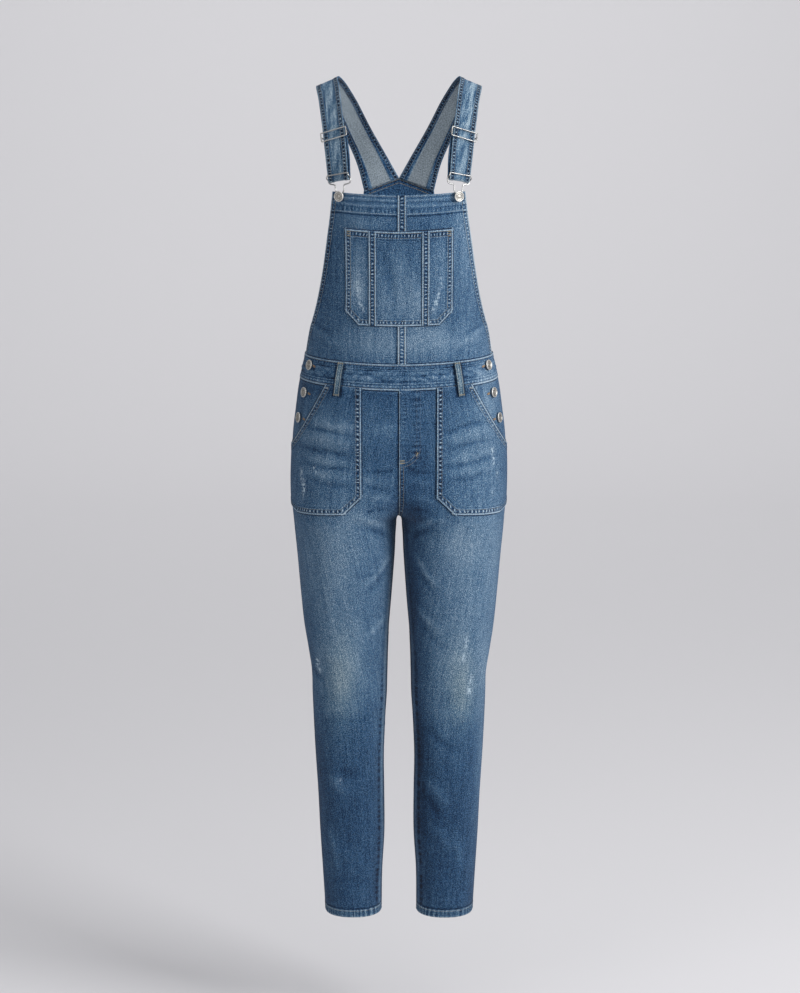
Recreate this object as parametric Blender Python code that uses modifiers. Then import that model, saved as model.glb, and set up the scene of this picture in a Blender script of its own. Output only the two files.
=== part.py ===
"""Denim dungarees, filled out and hollow, as cut pieces with their metal fittings.

The front faces -Y, the wearer's left is +X and +Z is up. The origin lies between the tops of the two
straps, where the shoulders carry the garment. Sizes are in millimetres and become metres in the meshes.
"""

from math import cos, pi, radians, sin

import bmesh
import bpy
import numpy as np
from mathutils import Vector
from mathutils.bvhtree import BVHTree

MM = 0.001
SHARP = radians(40)  # edges turned more than this stay sharp
GAP = 0.3  # between two pieces that meet at a seam or lie on each other
CLOTH = 1.5  # one layer of denim
PATCH = 1.2  # a pressed pocket
FELL = 0.9  # the folded edge of a felled seam
BAND = 2.8  # the waistband's two layers
RAISE = 0.7  # how far the waistband stands proud of the panels above and below it
SEAM_STEP = 3.5  # width of the column beside a seam
POWER = 2.25  # squareness of every level section: 2 is an ellipse
FACET = 0.1  # allowance for the flat facets under a fitted piece
SECTION_STEPS = 161  # points on half a level section
OUTER_COLUMNS, INNER_COLUMNS, TURN_X = 6, 4, 48.0  # of a trouser panel, and where the inner ones start
BAND_COLUMNS, BIB_COLUMNS, BACK_COLUMNS, LOOP_COLUMNS = 13, 9, 15, 3
BAND_ROWS, BIB_ROWS, BACK_ROWS, LOOP_ROWS = 4, 14, 13, 7

# The body of the garment as level sections of one leg tube. Above the crotch the tube's inner side lies
# past the middle of the garment, and the middle plane cuts it off.
INNER, OUTER, FRONT, BACK, SIDE = range(1, 6)
BODY = (
    # height, inner side, outer side, front, back, side seam
    (-1408, 31, 125, -39, 60, 10),
    (-1337, 30, 129, -42, 60, 9),
    (-1266, 26, 133, -47, 61, 7),
    (-1195, 26, 136, -53, 62, 4),
    (-1125, 27, 140, -59, 62, 1),
    (-1055, 24, 143, -66, 62, -2),
    (-1020, 21.5, 144.1, -70, 63, -3),
    (-985, 20.5, 144.8, -74, 65, -4),
    (-945, 19.5, 150.5, -78, 70, -2),
    (-905, 17.5, 157, -82, 76, 0),
    (-850, 13, 162.5, -88, 84, 1),
    (-780, 8, 168.5, -95.5, 96, 3),
    (-740, 6, 172.3, -100.5, 105.5, 4),
    (-724, 4, 173.6, -102.8, 110.5, 5),
    (-716, 0.2, 174.2, -104, 113.5, 5),
    (-709, -11, 174.8, -105, 116.5, 5),
    (-698, -30, 175.5, -106.8, 121, 5),
    (-680, -64, 176.4, -109.5, 127.5, 5),
    (-655, -112, 176.8, -112.5, 134.5, 5),
    (-630, -155, 176.5, -114.5, 137.5, 5),
    (-608, -175.5, 175.5, -115, 137, 5),
    (-580, -173.5, 173.5, -115, 131, 4),
    (-540, -168.5, 168.5, -112, 119, 2),
    (-510, -164.5, 164.5, -110, 109, 1),
    (-490, -161, 161, -108, 103, 0),
    (-450, -152.5, 152.5, -104, 98, 0),
    (-410, -149.5, 149.5, -107, 96, 0),
    (-350, -149, 149, -114, 96, 0),
    (-280, -149.5, 149.5, -118, 98, 0),
    (-150, -150, 150, -118, 101, 0),
)
CROTCH, HEM = -716.0, -1407.0
WAIST_TOP, WAIST_BOTTOM = -451.0, -491.5
LEG_ROWS = (
    # from, to, rows: close together where the two legs part
    (WAIST_BOTTOM - 2 * GAP, -640, 6),
    (-640, -700, 4),
    (-700, CROTCH, 4),
    (CROTCH, -740, 3),
    (-740, HEM, 20),
)

# Half widths of the two bibs.
BIB_TOP = -182.0
BIB_SIDE = (
    # height, half width
    (-450, 150.5),
    (-408, 143.5),
    (-369, 133.5),
    (-311, 122),
    (-253, 113.5),
    (-196, 106),
    (-182, 104.5),
)
CHEVRON_PEAK, CHEVRON_FOOT, CHEVRON_HALF = -173.0, -194.0, 57.6
BACK_SIDE = (
    # share of the height from the waistband to the chevron, half width
    (0, 149),
    (0.2, 131),
    (0.45, 104),
    (0.7, 79),
    (0.9, 62),
    (1, 57.6),
)

# The strap's two edges, from the fold round the hook, over the shoulder, to the back bib.
STRAP_EDGES = (
    # inner x, y, z, outer x, y, z
    (80.3, -111, -155, 111.8, -92, -162),
    (81.2, -95.5, -121, 115.8, -82, -130),
    (83.3, -76, -87, 119.2, -66, -97.5),
    (87.5, -58, -55, 122.8, -51, -69),
    (92.5, -34, -23, 127.8, -30, -38),
    (97.0, -4, -4, 132.5, -4, -19.5),
    (88.8, 24, -11.5, 124.2, 21, -27),
    (76.5, 44, -31, 111.5, 40, -49),
    (65, 59, -52, 100.5, 54, -72),
    (46.4, 77, -90, 84.8, 70, -110),
    (23.6, 92, -131, 68.5, 85, -151),
)
STRAP_HEM, STRAP_STEP = 8.5, 1.2  # width of the turned edges on the strap's inner side, and of their step
STRAP_THICK, STRAP_THIN = 2.4, 1.4  # at those edges, and between them
STRAP_END = 0.1  # how far the end of the strap passes the slider, in rows of STRAP_EDGES
STRAP_ROWS, FOLD_ROWS, RETURN_ROWS = 28, 7, 8

# Patches in front view: x from the middle, heights.
HIP_POCKET_EDGES = (
    # a point of the edge, the direction out of the pocket
    ((60.5, 0), (-1, 0)),
    ((89, -697.5), (-1, -1)),
    ((89, -697.5), (-0.08, -1)),
    ((163, -703.5), (0.45, -1)),
    ((117, -490.5), (1, 0.49)),
)
BIB_SEAM_WIDTH = 13.5
BIB_POCKET_HALF, BIB_POCKET_SEAM, BIB_POCKET_CHAMFER = 84.0, 42.0, 20.5
BIB_POCKET_TOP, BIB_POCKET_BOTTOM = -239.5, -388.5
FELL_WIDTH = 11.5

# A strip over the waistband, sewn at both ends.
LOOP_WIDTH, LOOP_TOP, LOOP_BOTTOM = 12.0, -451.5, -506.5
LOOP_X_TOP, LOOP_X_BOTTOM = 92.0, 99.5
LOOP_BOW = 1.9  # how far its middle bends out

SIDE_BUTTONS = (
    # height, x
    (-463, 142.5),
    (-507.5, 152),
    (-550, 161.5),
)
BIB_BUTTON_HEIGHT, BIB_BUTTON_X = -187.0, 91.8
SIDE_SHANK, BIB_SHANK, SHANK_RADIUS = 1.4, 5.2, 2.6  # the bib's shank carries the hook's eye too
BUTTON_RADIUS = 8.4
BUTTON_HEAD = (
    # radius, height over the shank: a raised rim round a dished middle
    (0, 1.5),
    (4.6, 1.5),
    (6.2, 2.3),
    (BUTTON_RADIUS - 0.6, 2.2),
    (BUTTON_RADIUS, 1.2),
    (BUTTON_RADIUS - 0.8, 0),
    (SHANK_RADIUS, -0.2),
)
BUTTON_STEPS = 12

WIRE = 1.25  # radius
FOLD_RADIUS = WIRE + 2 * GAP + STRAP_THICK  # of the strap's face where it turns round the hook's bar
SLIDER_AT = 2.0  # place along the strap, in rows of STRAP_EDGES
SLIDER_HALF, SLIDER_HEIGHT, SLIDER_CORNER = 21.4, 14.6, 2.5
HOOK_HALF, HOOK_HEIGHT = 20.6, 6.0
HOOK_ARM = (
    # across, up the strap, out as a share of the way over the fold
    (HOOK_HALF - 3, HOOK_HEIGHT, 1),
    (HOOK_HALF - 1, HOOK_HEIGHT, 1),
    (HOOK_HALF, 2.1, 0.97),
    (HOOK_HALF, 0.7, 0.62),
    (HOOK_HALF, 0, 0),
)
HOOK_SHOULDER = (
    # half width, distance from the bar
    (HOOK_HALF, 4),
    (HOOK_HALF - 1, 6.6),
    (HOOK_HALF - 4, 8.2),
    (11.5, 8.8),
    (8.8, 9.6),
    (7.9, 11.4),
)
HOOK_NECK = (
    # half width, distance from the eye
    (7.9, -11),
    (7.2, -8),
    (4.9, -4),
)
HOOK_EYE, HOOK_EYE_STEPS = 4.7, 9
HOOK_SEAT = GAP + 1.6 + WIRE  # height of the eye's wire over the bib


# ---------------------------------------------------------------- smooth sections

def smooth(table, column, at):
    """The cubic through a table's rows, whose slopes come from the neighbouring rows."""
    rows = np.array(table, float)
    rows = rows[np.argsort(rows[:, 0])]
    known, values = rows[:, 0], rows[:, column]
    slopes = np.gradient(values, known)
    low = np.clip(np.searchsorted(known, at) - 1, 0, len(known) - 2)
    step = known[low + 1] - known[low]
    t = (at - known[low]) / step
    ease = t * t * (3 - 2 * t)
    bend = slopes[low] * t * (1 - t) ** 2 - slopes[low + 1] * t * t * (1 - t)
    return values[low] * (1 - ease) + values[low + 1] * ease + step * bend


def section(height, back):
    """x, y and the distance from the side seam along one half of a level section."""
    inner, outer, side = (float(smooth(BODY, k, height)) for k in (INNER, OUTER, SIDE))
    reach = float(smooth(BODY, BACK if back else FRONT, height)) - side
    middle, half = (inner + outer) / 2, (outer - inner) / 2
    last = pi if inner > 0 else pi - np.arccos(max(middle / half, 0) ** (POWER / 2))
    angle = np.linspace(0, last, SECTION_STEPS)
    across = np.cos(angle)
    x = middle + half * np.sign(across) * np.abs(across) ** (2 / POWER)
    y = side + reach * np.abs(np.sin(angle)) ** (2 / POWER)
    x = np.maximum(x, GAP / 2)
    run = np.concatenate(([0], np.cumsum(np.hypot(np.diff(x), np.diff(y)))))
    return x, y, run


def depth_at(x, height, back):
    """y of the body at a place in front view, above the crotch."""
    outer, side = smooth(BODY, OUTER, height), smooth(BODY, SIDE, height)
    reach = smooth(BODY, BACK if back else FRONT, height) - side
    inside = np.clip(1 - np.abs(x / outer) ** POWER, 0, 1)
    return side + reach * inside ** (1 / POWER)


def level_points(height, back, at):
    """Points of the section at some distances from the side seam."""
    x, y, run = section(height, back)
    return np.column_stack((np.interp(at, run, x), np.interp(at, run, y), np.full(len(at), height)))


def level_row(height, back, start, end, count):
    return level_points(height, back, np.linspace(start, end, count))


def seam_row(height, back, end, count):
    """A row from the side seam, whose end steps are narrow so that the wall is square to its seams."""
    start = GAP / 2
    spread = np.linspace(start + SEAM_STEP, end - SEAM_STEP, count - 2)
    return level_points(height, back, np.concatenate(([start], spread, [end])))


def to_middle(height, back):
    return section(height, back)[2][-1]


def distance_of(height, back, x):
    """How far from the side seam the section first passes this x."""
    xs, _, run = section(height, back)
    return float(np.interp(-x, -xs, run))


def mirrored(row):
    """A row from the side seam to the middle, carried on to the other side seam."""
    return np.vstack((row, row[:-1][::-1] * (-1, 1, 1)))


# ---------------------------------------------------------------- objects

def material(name, colour, roughness, metallic=0.0):
    made = bpy.data.materials.new(name)
    made.use_nodes = True
    shader = made.node_tree.nodes["Principled BSDF"]
    shader.inputs["Base Color"].default_value = (*colour, 1)
    shader.inputs["Roughness"].default_value = roughness
    shader.inputs["Metallic"].default_value = metallic
    return made


def add_object(name, mesh, finish):
    mesh.materials.clear()
    mesh.materials.append(finish)
    mesh.shade_smooth()
    mesh.set_sharp_from_angle(angle=SHARP)
    made = bpy.data.objects.new(name, mesh)
    garment.objects.link(made)
    return made


def open_sheet(name, grid, facing, side=1):
    """An open mesh over rows of points, turned so that it faces one way on the whole."""
    rows, columns, _ = np.shape(grid)
    points = np.reshape(grid, (-1, 3)) * (side, 1, 1)
    first = np.arange(rows - 1)[:, None] * columns + np.arange(columns - 1)
    corners = first, first + 1, first + columns + 1, first + columns
    halves = [np.stack([corners[k] for k in pick], -1) for pick in ((0, 1, 2), (0, 2, 3))]
    faces = np.stack(halves, -2).reshape(-1, 3)
    a, b, c = (points[faces[:, k]] for k in range(3))
    if np.cross(b - a, c - a).sum(axis=0) @ np.array(facing) < 0:
        faces = faces[:, ::-1]
    mesh = bpy.data.meshes.new(name)
    mesh.from_pydata((points * MM).tolist(), [], faces.tolist())
    mesh.update()
    return mesh


def thicken(made, thickness, outwards=False):
    wall = made.modifiers.new("cloth", "SOLIDIFY")
    wall.thickness = thickness * MM
    wall.offset = 1 if outwards else -1
    return wall


def cloth(name, mesh, thickness=CLOTH):
    """A panel whose outer side is the mesh and whose wall lies inside it."""
    made = add_object(name, mesh, denim)
    thicken(made, thickness)
    return made


def trimmed(name, surface, cuts, lift=0.0):
    """A surface's own points moved out, and trimmed by planes.

    Each cut is a point and a direction in front view, and what lies beyond it is left out."""
    mesh = surface.copy()
    mesh.name = name
    grid = bmesh.new()
    grid.from_mesh(mesh)
    moved = [vertex.co + vertex.normal * lift * MM for vertex in grid.verts]
    for vertex, place in zip(grid.verts, moved):
        vertex.co = place
    for (x, z), (across, up) in cuts:
        parts = grid.verts[:] + grid.edges[:] + grid.faces[:]
        place, away = Vector((x * MM, 0, z * MM)), Vector((across, 0, up))
        bmesh.ops.bisect_plane(
            grid, geom=parts, dist=0.1 * MM, plane_co=place, plane_no=away, clear_outer=True
        )
    grid.to_mesh(mesh)
    grid.free()
    return mesh


def patch(name, surface, cuts, lift=GAP, thickness=PATCH):
    """A piece of cloth that lies on a panel's surface."""
    made = add_object(name, trimmed(name, surface, cuts, lift), denim)
    thicken(made, thickness, outwards=True)
    return made


def wire_mesh(points, closed):
    """A round wire along points, as a welded mesh."""
    curve = bpy.data.curves.new("wire", "CURVE")
    curve.dimensions = "3D"
    curve.bevel_depth = WIRE * MM
    curve.bevel_resolution = 1
    curve.use_fill_caps = not closed
    spline = curve.splines.new("POLY")
    spline.points.add(len(points) - 1)
    for place, point in zip(spline.points, points):
        place.co = (*(np.array(point) * MM), 1)
    spline.use_cyclic_u = closed
    guide = bpy.data.objects.new("wire", curve)
    garment.objects.link(guide)
    bpy.context.view_layer.update()
    mesh = bpy.data.meshes.new_from_object(guide.evaluated_get(bpy.context.evaluated_depsgraph_get()))
    bpy.data.objects.remove(guide)
    welded = bmesh.new()
    welded.from_mesh(mesh)
    bmesh.ops.remove_doubles(welded, verts=welded.verts[:], dist=1e-6)
    bmesh.ops.recalc_face_normals(welded, faces=welded.faces[:])
    welded.to_mesh(mesh)
    welded.free()
    return mesh


def wire_frame(name, loop, bar):
    """A closed loop of wire with a straight bar across it, as one body."""
    made = add_object(name, wire_mesh(loop, closed=True), steel)
    cross = add_object(name + "_bar", wire_mesh(bar, closed=False), steel)
    garment.objects.unlink(cross)
    helpers.objects.link(cross)
    cross.hide_render = True
    cross.display_type = "WIRE"
    join = made.modifiers.new("bar", "BOOLEAN")
    join.operation = "UNION"
    join.object = cross
    return made


def seat(surface, height, x):
    """Where a line from the front meets an open mesh, in metres, and the mesh's normal there."""
    places = [vertex.co for vertex in surface.vertices]
    tree = BVHTree.FromPolygons(places, [face.vertices for face in surface.polygons])
    place, normal, _, _ = tree.ray_cast(Vector((x * MM, -1, height * MM)), Vector((0, 1, 0)))
    return place, normal


def button(name, seated, shank):
    """A dished shank button, turned about the cloth's normal."""
    profile = [(radius, GAP + shank + height) for radius, height in BUTTON_HEAD]
    profile += [(SHANK_RADIUS, GAP), (0, GAP)]
    mesh = bpy.data.meshes.new(name)
    points = [(radius * MM, 0, height * MM) for radius, height in profile]
    mesh.from_pydata(points, [(k, k + 1) for k in range(len(points) - 1)], [])
    made = add_object(name, mesh, button_metal)
    made.location, normal = seated
    made.rotation_mode = "QUATERNION"
    made.rotation_quaternion = normal.to_track_quat("Z", "Y")
    turn = made.modifiers.new("turn", "SCREW")
    turn.steps = turn.render_steps = BUTTON_STEPS
    turn.use_merge_vertices = True
    turn.merge_threshold = 1e-5
    return made


# ---------------------------------------------------------------- trousers

def leg_heights():
    stretches = [np.linspace(start, end, count, endpoint=False) for start, end, count in LEG_ROWS]
    return np.concatenate((*stretches, [HEM]))


def trouser_row(height, back):
    """Outer columns keep their distances from the side seam, and the inner ones turn under the crotch."""
    start, turn = GAP / 2, distance_of(height, back, TURN_X)
    end = to_middle(height, back) - GAP / 2
    outer = np.linspace(start + SEAM_STEP, turn, OUTER_COLUMNS)
    inner = np.linspace(turn, end - SEAM_STEP, INNER_COLUMNS + 1)[1:]
    return level_points(height, back, np.concatenate(([start], outer, inner, [end])))


def trouser_panel(name, side, back):
    rows = [trouser_row(height, back) for height in leg_heights()]
    mesh = open_sheet(name, rows, (0, 1 if back else -1, 0), side)
    return cloth(name, mesh)


def hip_pocket(name, surface, side):
    """A patch pocket with a slanted opening, caught in the side seam and under the waistband."""
    cuts = [((side * x, z), (side * across, up)) for (x, z), (across, up) in HIP_POCKET_EDGES]
    return patch(name, surface, cuts)


# ---------------------------------------------------------------- waist and bibs

def waistband(name, back):
    """A band that stands proud of the panels above and below it."""
    rows = []
    for height in np.linspace(WAIST_TOP, WAIST_BOTTOM, BAND_ROWS):
        half = seam_row(height, back, to_middle(height, back), BAND_COLUMNS)
        half[-1, 0] = 0
        rows.append(mirrored(half))
    grid = np.array(rows)
    from_middle = np.hypot(grid[..., 0], grid[..., 1])
    grid[..., :2] *= (1 + RAISE / from_middle)[..., None]
    return cloth(name, open_sheet(name, grid, (0, 1 if back else -1, 0)), BAND)


def belt_loop(name, side, back):
    """A strip that spans the waistband, bowed out between its sewn ends."""
    head = RAISE + GAP + CLOTH + FACET
    foot = GAP + CLOTH + FACET + (0 if back else GAP + PATCH)
    rows = []
    for share in np.linspace(0, 1, LOOP_ROWS):
        height = LOOP_TOP + share * (LOOP_BOTTOM - LOOP_TOP)
        x = LOOP_X_TOP + share * (LOOP_X_BOTTOM - LOOP_X_TOP)
        at = distance_of(height, back, x)
        row = level_row(height, back, at - LOOP_WIDTH / 2, at + LOOP_WIDTH / 2, LOOP_COLUMNS)
        along = row[-1] - row[0]
        out = np.array([-along[1], along[0], 0]) * (-1 if back else 1)
        out = out / np.linalg.norm(out)
        rows.append(row + out * (head + share * (foot - head) + LOOP_BOW * sin(pi * share)))
    return cloth(name, open_sheet(name, rows, (0, 1 if back else -1, 0), side))


def bib_surface():
    """The face of the whole bib, which its halves and its pocket are cut from."""
    rows = []
    for height in np.linspace(WAIST_TOP + GAP, BIB_TOP, BIB_ROWS):
        edge = distance_of(height, False, float(smooth(BIB_SIDE, 1, height)))
        row = level_row(height, False, edge, to_middle(height, False), BIB_COLUMNS)
        row[-1, 0] = 0
        rows.append(mirrored(row))
    return open_sheet("bib_surface", rows, (0, -1, 0))


def chevron(x):
    """Height of the back bib's top edge."""
    return CHEVRON_PEAK + (CHEVRON_FOOT - CHEVRON_PEAK) * np.abs(x) / CHEVRON_HALF


def back_bib(name):
    low = WAIST_TOP + GAP
    rows = []
    for share in np.linspace(0, 1, BACK_ROWS):
        x = np.linspace(-1, 1, BACK_COLUMNS) * float(smooth(BACK_SIDE, 1, share))
        height = low + share * (chevron(x) - low)
        rows.append(np.column_stack((x, depth_at(x, height, True), height)))
    return cloth(name, open_sheet(name, rows, (0, 1, 0)))


def between(low, high):
    """Two upright cuts that leave what lies between them in front view."""
    return ((high, 0), (1, 0)), ((low, 0), (-1, 0))


def bib(surface):
    """The bib's two halves, and the felled seam between them above and below the pocket."""
    for word, side in (("left", 1), ("right", -1)):
        middle = ((side * GAP / 2, 0), (-side, 0))
        cloth(f"bib_{word}", trimmed(f"bib_{word}", surface, (middle,)))
    sides = between(0, BIB_SEAM_WIDTH)
    patch("bib_seam_upper", surface, (*sides, ((0, BIB_POCKET_TOP + GAP), (0, -1))), thickness=FELL)
    patch("bib_seam_lower", surface, (*sides, ((0, BIB_POCKET_BOTTOM - GAP), (0, 1))), thickness=FELL)


def bib_pocket(surface):
    """The pocket's three pieces, and the two felled seams that join them."""
    span = ((0, BIB_POCKET_TOP), (0, 1)), ((0, BIB_POCKET_BOTTOM), (0, -1))
    seam = BIB_POCKET_SEAM - GAP / 2
    patch("bib_pocket_centre", surface, (*span, *between(-seam, seam)))
    for word, side in (("left", 1), ("right", -1)):
        near, far = side * (BIB_POCKET_SEAM + GAP / 2), side * BIB_POCKET_HALF
        corner = ((far, BIB_POCKET_BOTTOM + BIB_POCKET_CHAMFER), (side, -1))
        sides = between(min(near, far), max(near, far))
        patch(f"bib_pocket_side_{word}", surface, (*span, *sides, corner))
        middle = side * BIB_POCKET_SEAM
        sides = between(middle - FELL_WIDTH / 2, middle + FELL_WIDTH / 2)
        patch(f"bib_pocket_fell_{word}", surface, (*span, *sides), 2 * GAP + PATCH, FELL)


# ---------------------------------------------------------------- straps and fittings

def strap_table():
    """The strap's edges with the place along it as the first column, and the back bib's edge last."""
    ends = [(2 * GAP, CHEVRON_PEAK + GAP), (CHEVRON_HALF, CHEVRON_FOOT + GAP)]
    last = [value for x, z in ends for value in (x, float(depth_at(x, z, True)), z)]
    rows = list(STRAP_EDGES) + [last]
    return [(k, *row) for k, row in enumerate(rows)]


def strap_edges(at):
    table = strap_table()
    inner = np.stack([smooth(table, k, at) for k in (1, 2, 3)], -1)
    outer = np.stack([smooth(table, k, at) for k in (4, 5, 6)], -1)
    return inner, outer


def strap_frame(at):
    """Centre of the strap's face, and its directions across, down the front and out."""
    inner, outer = strap_edges(at)
    ahead_inner, ahead_outer = strap_edges(at + 0.02)
    across = (outer - inner) / np.linalg.norm(outer - inner)
    down = (inner + outer - ahead_inner - ahead_outer) / 2
    down = down - across * (down @ across)
    down = down / np.linalg.norm(down)
    return (inner + outer) / 2, across, down, np.cross(down, across)


def strap(name, side):
    """One webbing of cloth: over the shoulder, round the hook's bar and back up to the slider."""
    stations = [strap_edges(at) for at in np.linspace(len(STRAP_EDGES), 0, STRAP_ROWS)]
    inner, outer = strap_edges(0.0)
    _, _, down, out = strap_frame(0.0)
    for turn in np.linspace(0, pi, FOLD_ROWS)[1:]:
        move = down * FOLD_RADIUS * sin(turn) - out * FOLD_RADIUS * (1 - cos(turn))
        stations.append((inner + move, outer + move))
    for share in np.linspace(0, 1, RETURN_ROWS)[1:]:
        at = share * (SLIDER_AT + STRAP_END)
        inner, outer = strap_edges(at)
        apart = 2 * FOLD_RADIUS - (2 * WIRE + GAP) * sin(pi * share) ** 0.5
        move = -strap_frame(at)[3] * apart
        stations.append((inner + move, outer + move))
    grid = []
    for inner, outer in stations:
        width = np.linalg.norm(outer - inner)
        hem, thin = STRAP_HEM / width, (STRAP_HEM + STRAP_STEP) / width
        share = np.array([0, hem, thin, 0.5, 1 - thin, 1 - hem, 1])[:, None]
        grid.append(inner * (1 - share) + outer * share)
    made = add_object(name, open_sheet(name, grid, (0, 0, 1), side), denim)
    wall = thicken(made, STRAP_THICK)
    thick = made.vertex_groups.new(name="hem")
    columns = len(share)
    for first in range(0, len(grid) * columns, columns):
        thick.add([first, first + 1, first + columns - 2, first + columns - 1], 1.0, "REPLACE")
    wall.vertex_group = "hem"
    wall.thickness_vertex_group = STRAP_THIN / STRAP_THICK
    return made


def placed(centre, across, down, out, points, side):
    """Points given across, down and out of the strap, in the garment's frame."""
    spread = [centre + across * u + down * v + out * w for u, v, w in points]
    return [point * (side, 1, 1) for point in spread]


def rounded(corners, radius, steps=3):
    """A closed path with its corners turned on an arc."""
    path = []
    for k, corner in enumerate(corners):
        corner = np.array(corner, float)
        before = np.array(corners[k - 1], float) - corner
        after = np.array(corners[(k + 1) % len(corners)], float) - corner
        start = corner + before / np.linalg.norm(before) * radius
        end = corner + after / np.linalg.norm(after) * radius
        for share in np.linspace(0, 1, steps):
            path.append((1 - share) ** 2 * start + 2 * share * (1 - share) * corner + share**2 * end)
    return path


def slider(name, side):
    """Two bars over the strap's face and one behind it."""
    frame = strap_frame(SLIDER_AT)
    half, tall, over = SLIDER_HALF, SLIDER_HEIGHT / 2, WIRE + 2 * GAP
    corners = [(-half, -tall, over), (half, -tall, over), (half, tall, over), (-half, tall, over)]
    loop = rounded(corners, SLIDER_CORNER)
    under = -STRAP_THICK - 2 * GAP - WIRE
    bend = half - 0.4
    bar = [(-half, 0, over), (-bend, 0, under), (bend, 0, under), (half, 0, over)]
    return wire_frame(name, placed(*frame, loop, side), placed(*frame, bar, side))


def hook(name, seated, side):
    """A wire buckle: a frame round the strap's fold, and a keyhole whose eye lies behind the bib button."""
    centre, across, down, out = strap_frame(0.0)
    bar_centre = centre - out * FOLD_RADIUS
    place, normal = (np.array(v) for v in seated)
    reach = place / MM + normal * HOOK_SEAT - bar_centre
    length = np.linalg.norm(reach)
    reach = reach / length
    width = across - reach * (across @ reach)
    width = width / np.linalg.norm(width)
    over = FOLD_RADIUS + WIRE + 2 * GAP

    arms = []
    for turned in (1, -1):
        arm = [(turned * u, -up, over * share) for u, up, share in HOOK_ARM]
        arms.append(placed(bar_centre, across, down, out, arm, side))
    half = list(HOOK_SHOULDER) + [(u, length + v) for u, v in HOOK_NECK]
    turns = np.linspace(radians(-5), radians(185), HOOK_EYE_STEPS)
    eye = [(HOOK_EYE * cos(turn), length + HOOK_EYE * sin(turn)) for turn in turns]
    outline = half + eye + [(-u, v) for u, v in reversed(half)]
    keyhole = placed(bar_centre, width, reach, out, [(u, v, 0) for u, v in outline], side)
    bar = placed(bar_centre, across, down, out, [(-HOOK_HALF, 0, 0), (HOOK_HALF, 0, 0)], side)
    return wire_frame(name, arms[0] + keyhole + arms[1][::-1], bar)


# ---------------------------------------------------------------- the whole garment

def build():
    face = bib_surface()
    bib(face)
    bib_pocket(face)
    back_bib("back_bib")
    band = waistband("waistband_front", back=False)
    waistband("waistband_back", back=True)
    bib_seat = seat(face, BIB_BUTTON_HEIGHT, BIB_BUTTON_X)
    for word, side in (("left", 1), ("right", -1)):
        front = trouser_panel(f"front_{word}", side, back=False)
        trouser_panel(f"back_{word}", side, back=True)
        hip_pocket(f"hip_pocket_{word}", front.data, side)
        belt_loop(f"belt_loop_front_{word}", side, back=False)
        belt_loop(f"belt_loop_back_{word}", side, back=True)
        strap(f"strap_{word}", side)
        slider(f"slider_{word}", side)
        hook(f"hook_{word}", bib_seat, side)
        button(f"bib_button_{word}", seat(face, BIB_BUTTON_HEIGHT, side * BIB_BUTTON_X), BIB_SHANK)
        for row, (height, x) in enumerate(SIDE_BUTTONS, 1):
            carrier = band if height > WAIST_BOTTOM else front
            button(f"side_button_{word}_{row}", seat(carrier.data, height, side * x), SIDE_SHANK)


for old in list(bpy.data.objects):
    bpy.data.objects.remove(old)
garment = bpy.data.collections.new("denim_dungarees")
helpers = bpy.data.collections.new("helpers")
bpy.context.scene.collection.children.link(garment)
bpy.context.scene.collection.children.link(helpers)
denim = material("denim", (0.085, 0.165, 0.31), 0.85)
steel = material("steel_wire", (0.62, 0.61, 0.6), 0.22, 1.0)
button_metal = material("button_metal", (0.6, 0.59, 0.57), 0.35, 1.0)
build()
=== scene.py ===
"""Looks of the denim dungarees: washed denim shells, their sewing, the wire fittings, a studio and a camera.

The front faces -Y, the wearer's left is +X and +Z is up. Lengths are in millimetres and become metres in the
meshes. Cloth is laid out flat first: a place on it is a distance along the cloth and a height.
"""

from functools import partial
from math import cos, pi, radians, sin

import bmesh
import bpy
import numpy as np
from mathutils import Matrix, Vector


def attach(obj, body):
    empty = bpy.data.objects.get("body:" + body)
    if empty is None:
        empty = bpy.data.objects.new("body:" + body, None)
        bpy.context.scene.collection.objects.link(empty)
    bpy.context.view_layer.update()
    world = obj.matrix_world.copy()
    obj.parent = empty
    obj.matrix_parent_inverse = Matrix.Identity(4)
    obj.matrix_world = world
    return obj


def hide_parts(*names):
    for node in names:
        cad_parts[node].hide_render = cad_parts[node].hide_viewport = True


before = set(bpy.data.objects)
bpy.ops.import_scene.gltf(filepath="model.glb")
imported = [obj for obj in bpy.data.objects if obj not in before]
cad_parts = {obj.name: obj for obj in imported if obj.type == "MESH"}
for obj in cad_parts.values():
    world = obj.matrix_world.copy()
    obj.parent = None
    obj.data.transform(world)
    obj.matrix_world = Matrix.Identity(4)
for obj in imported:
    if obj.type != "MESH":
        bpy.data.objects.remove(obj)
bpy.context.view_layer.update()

MM = 0.001
SHELL = 1.1  # thickness of one layer of denim
PATCH_LIFT = 1.5  # height of a patch's face over its panel
FELL_LIFT = 1.2  # height of a felled seam's face over the cloth under it
BAND_LIFT = 0.7  # how far the waistband stands proud
POWER = 2.25  # squareness of every level section: 2 is an ellipse
SIDES = (("left", 1), ("right", -1))

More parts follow.
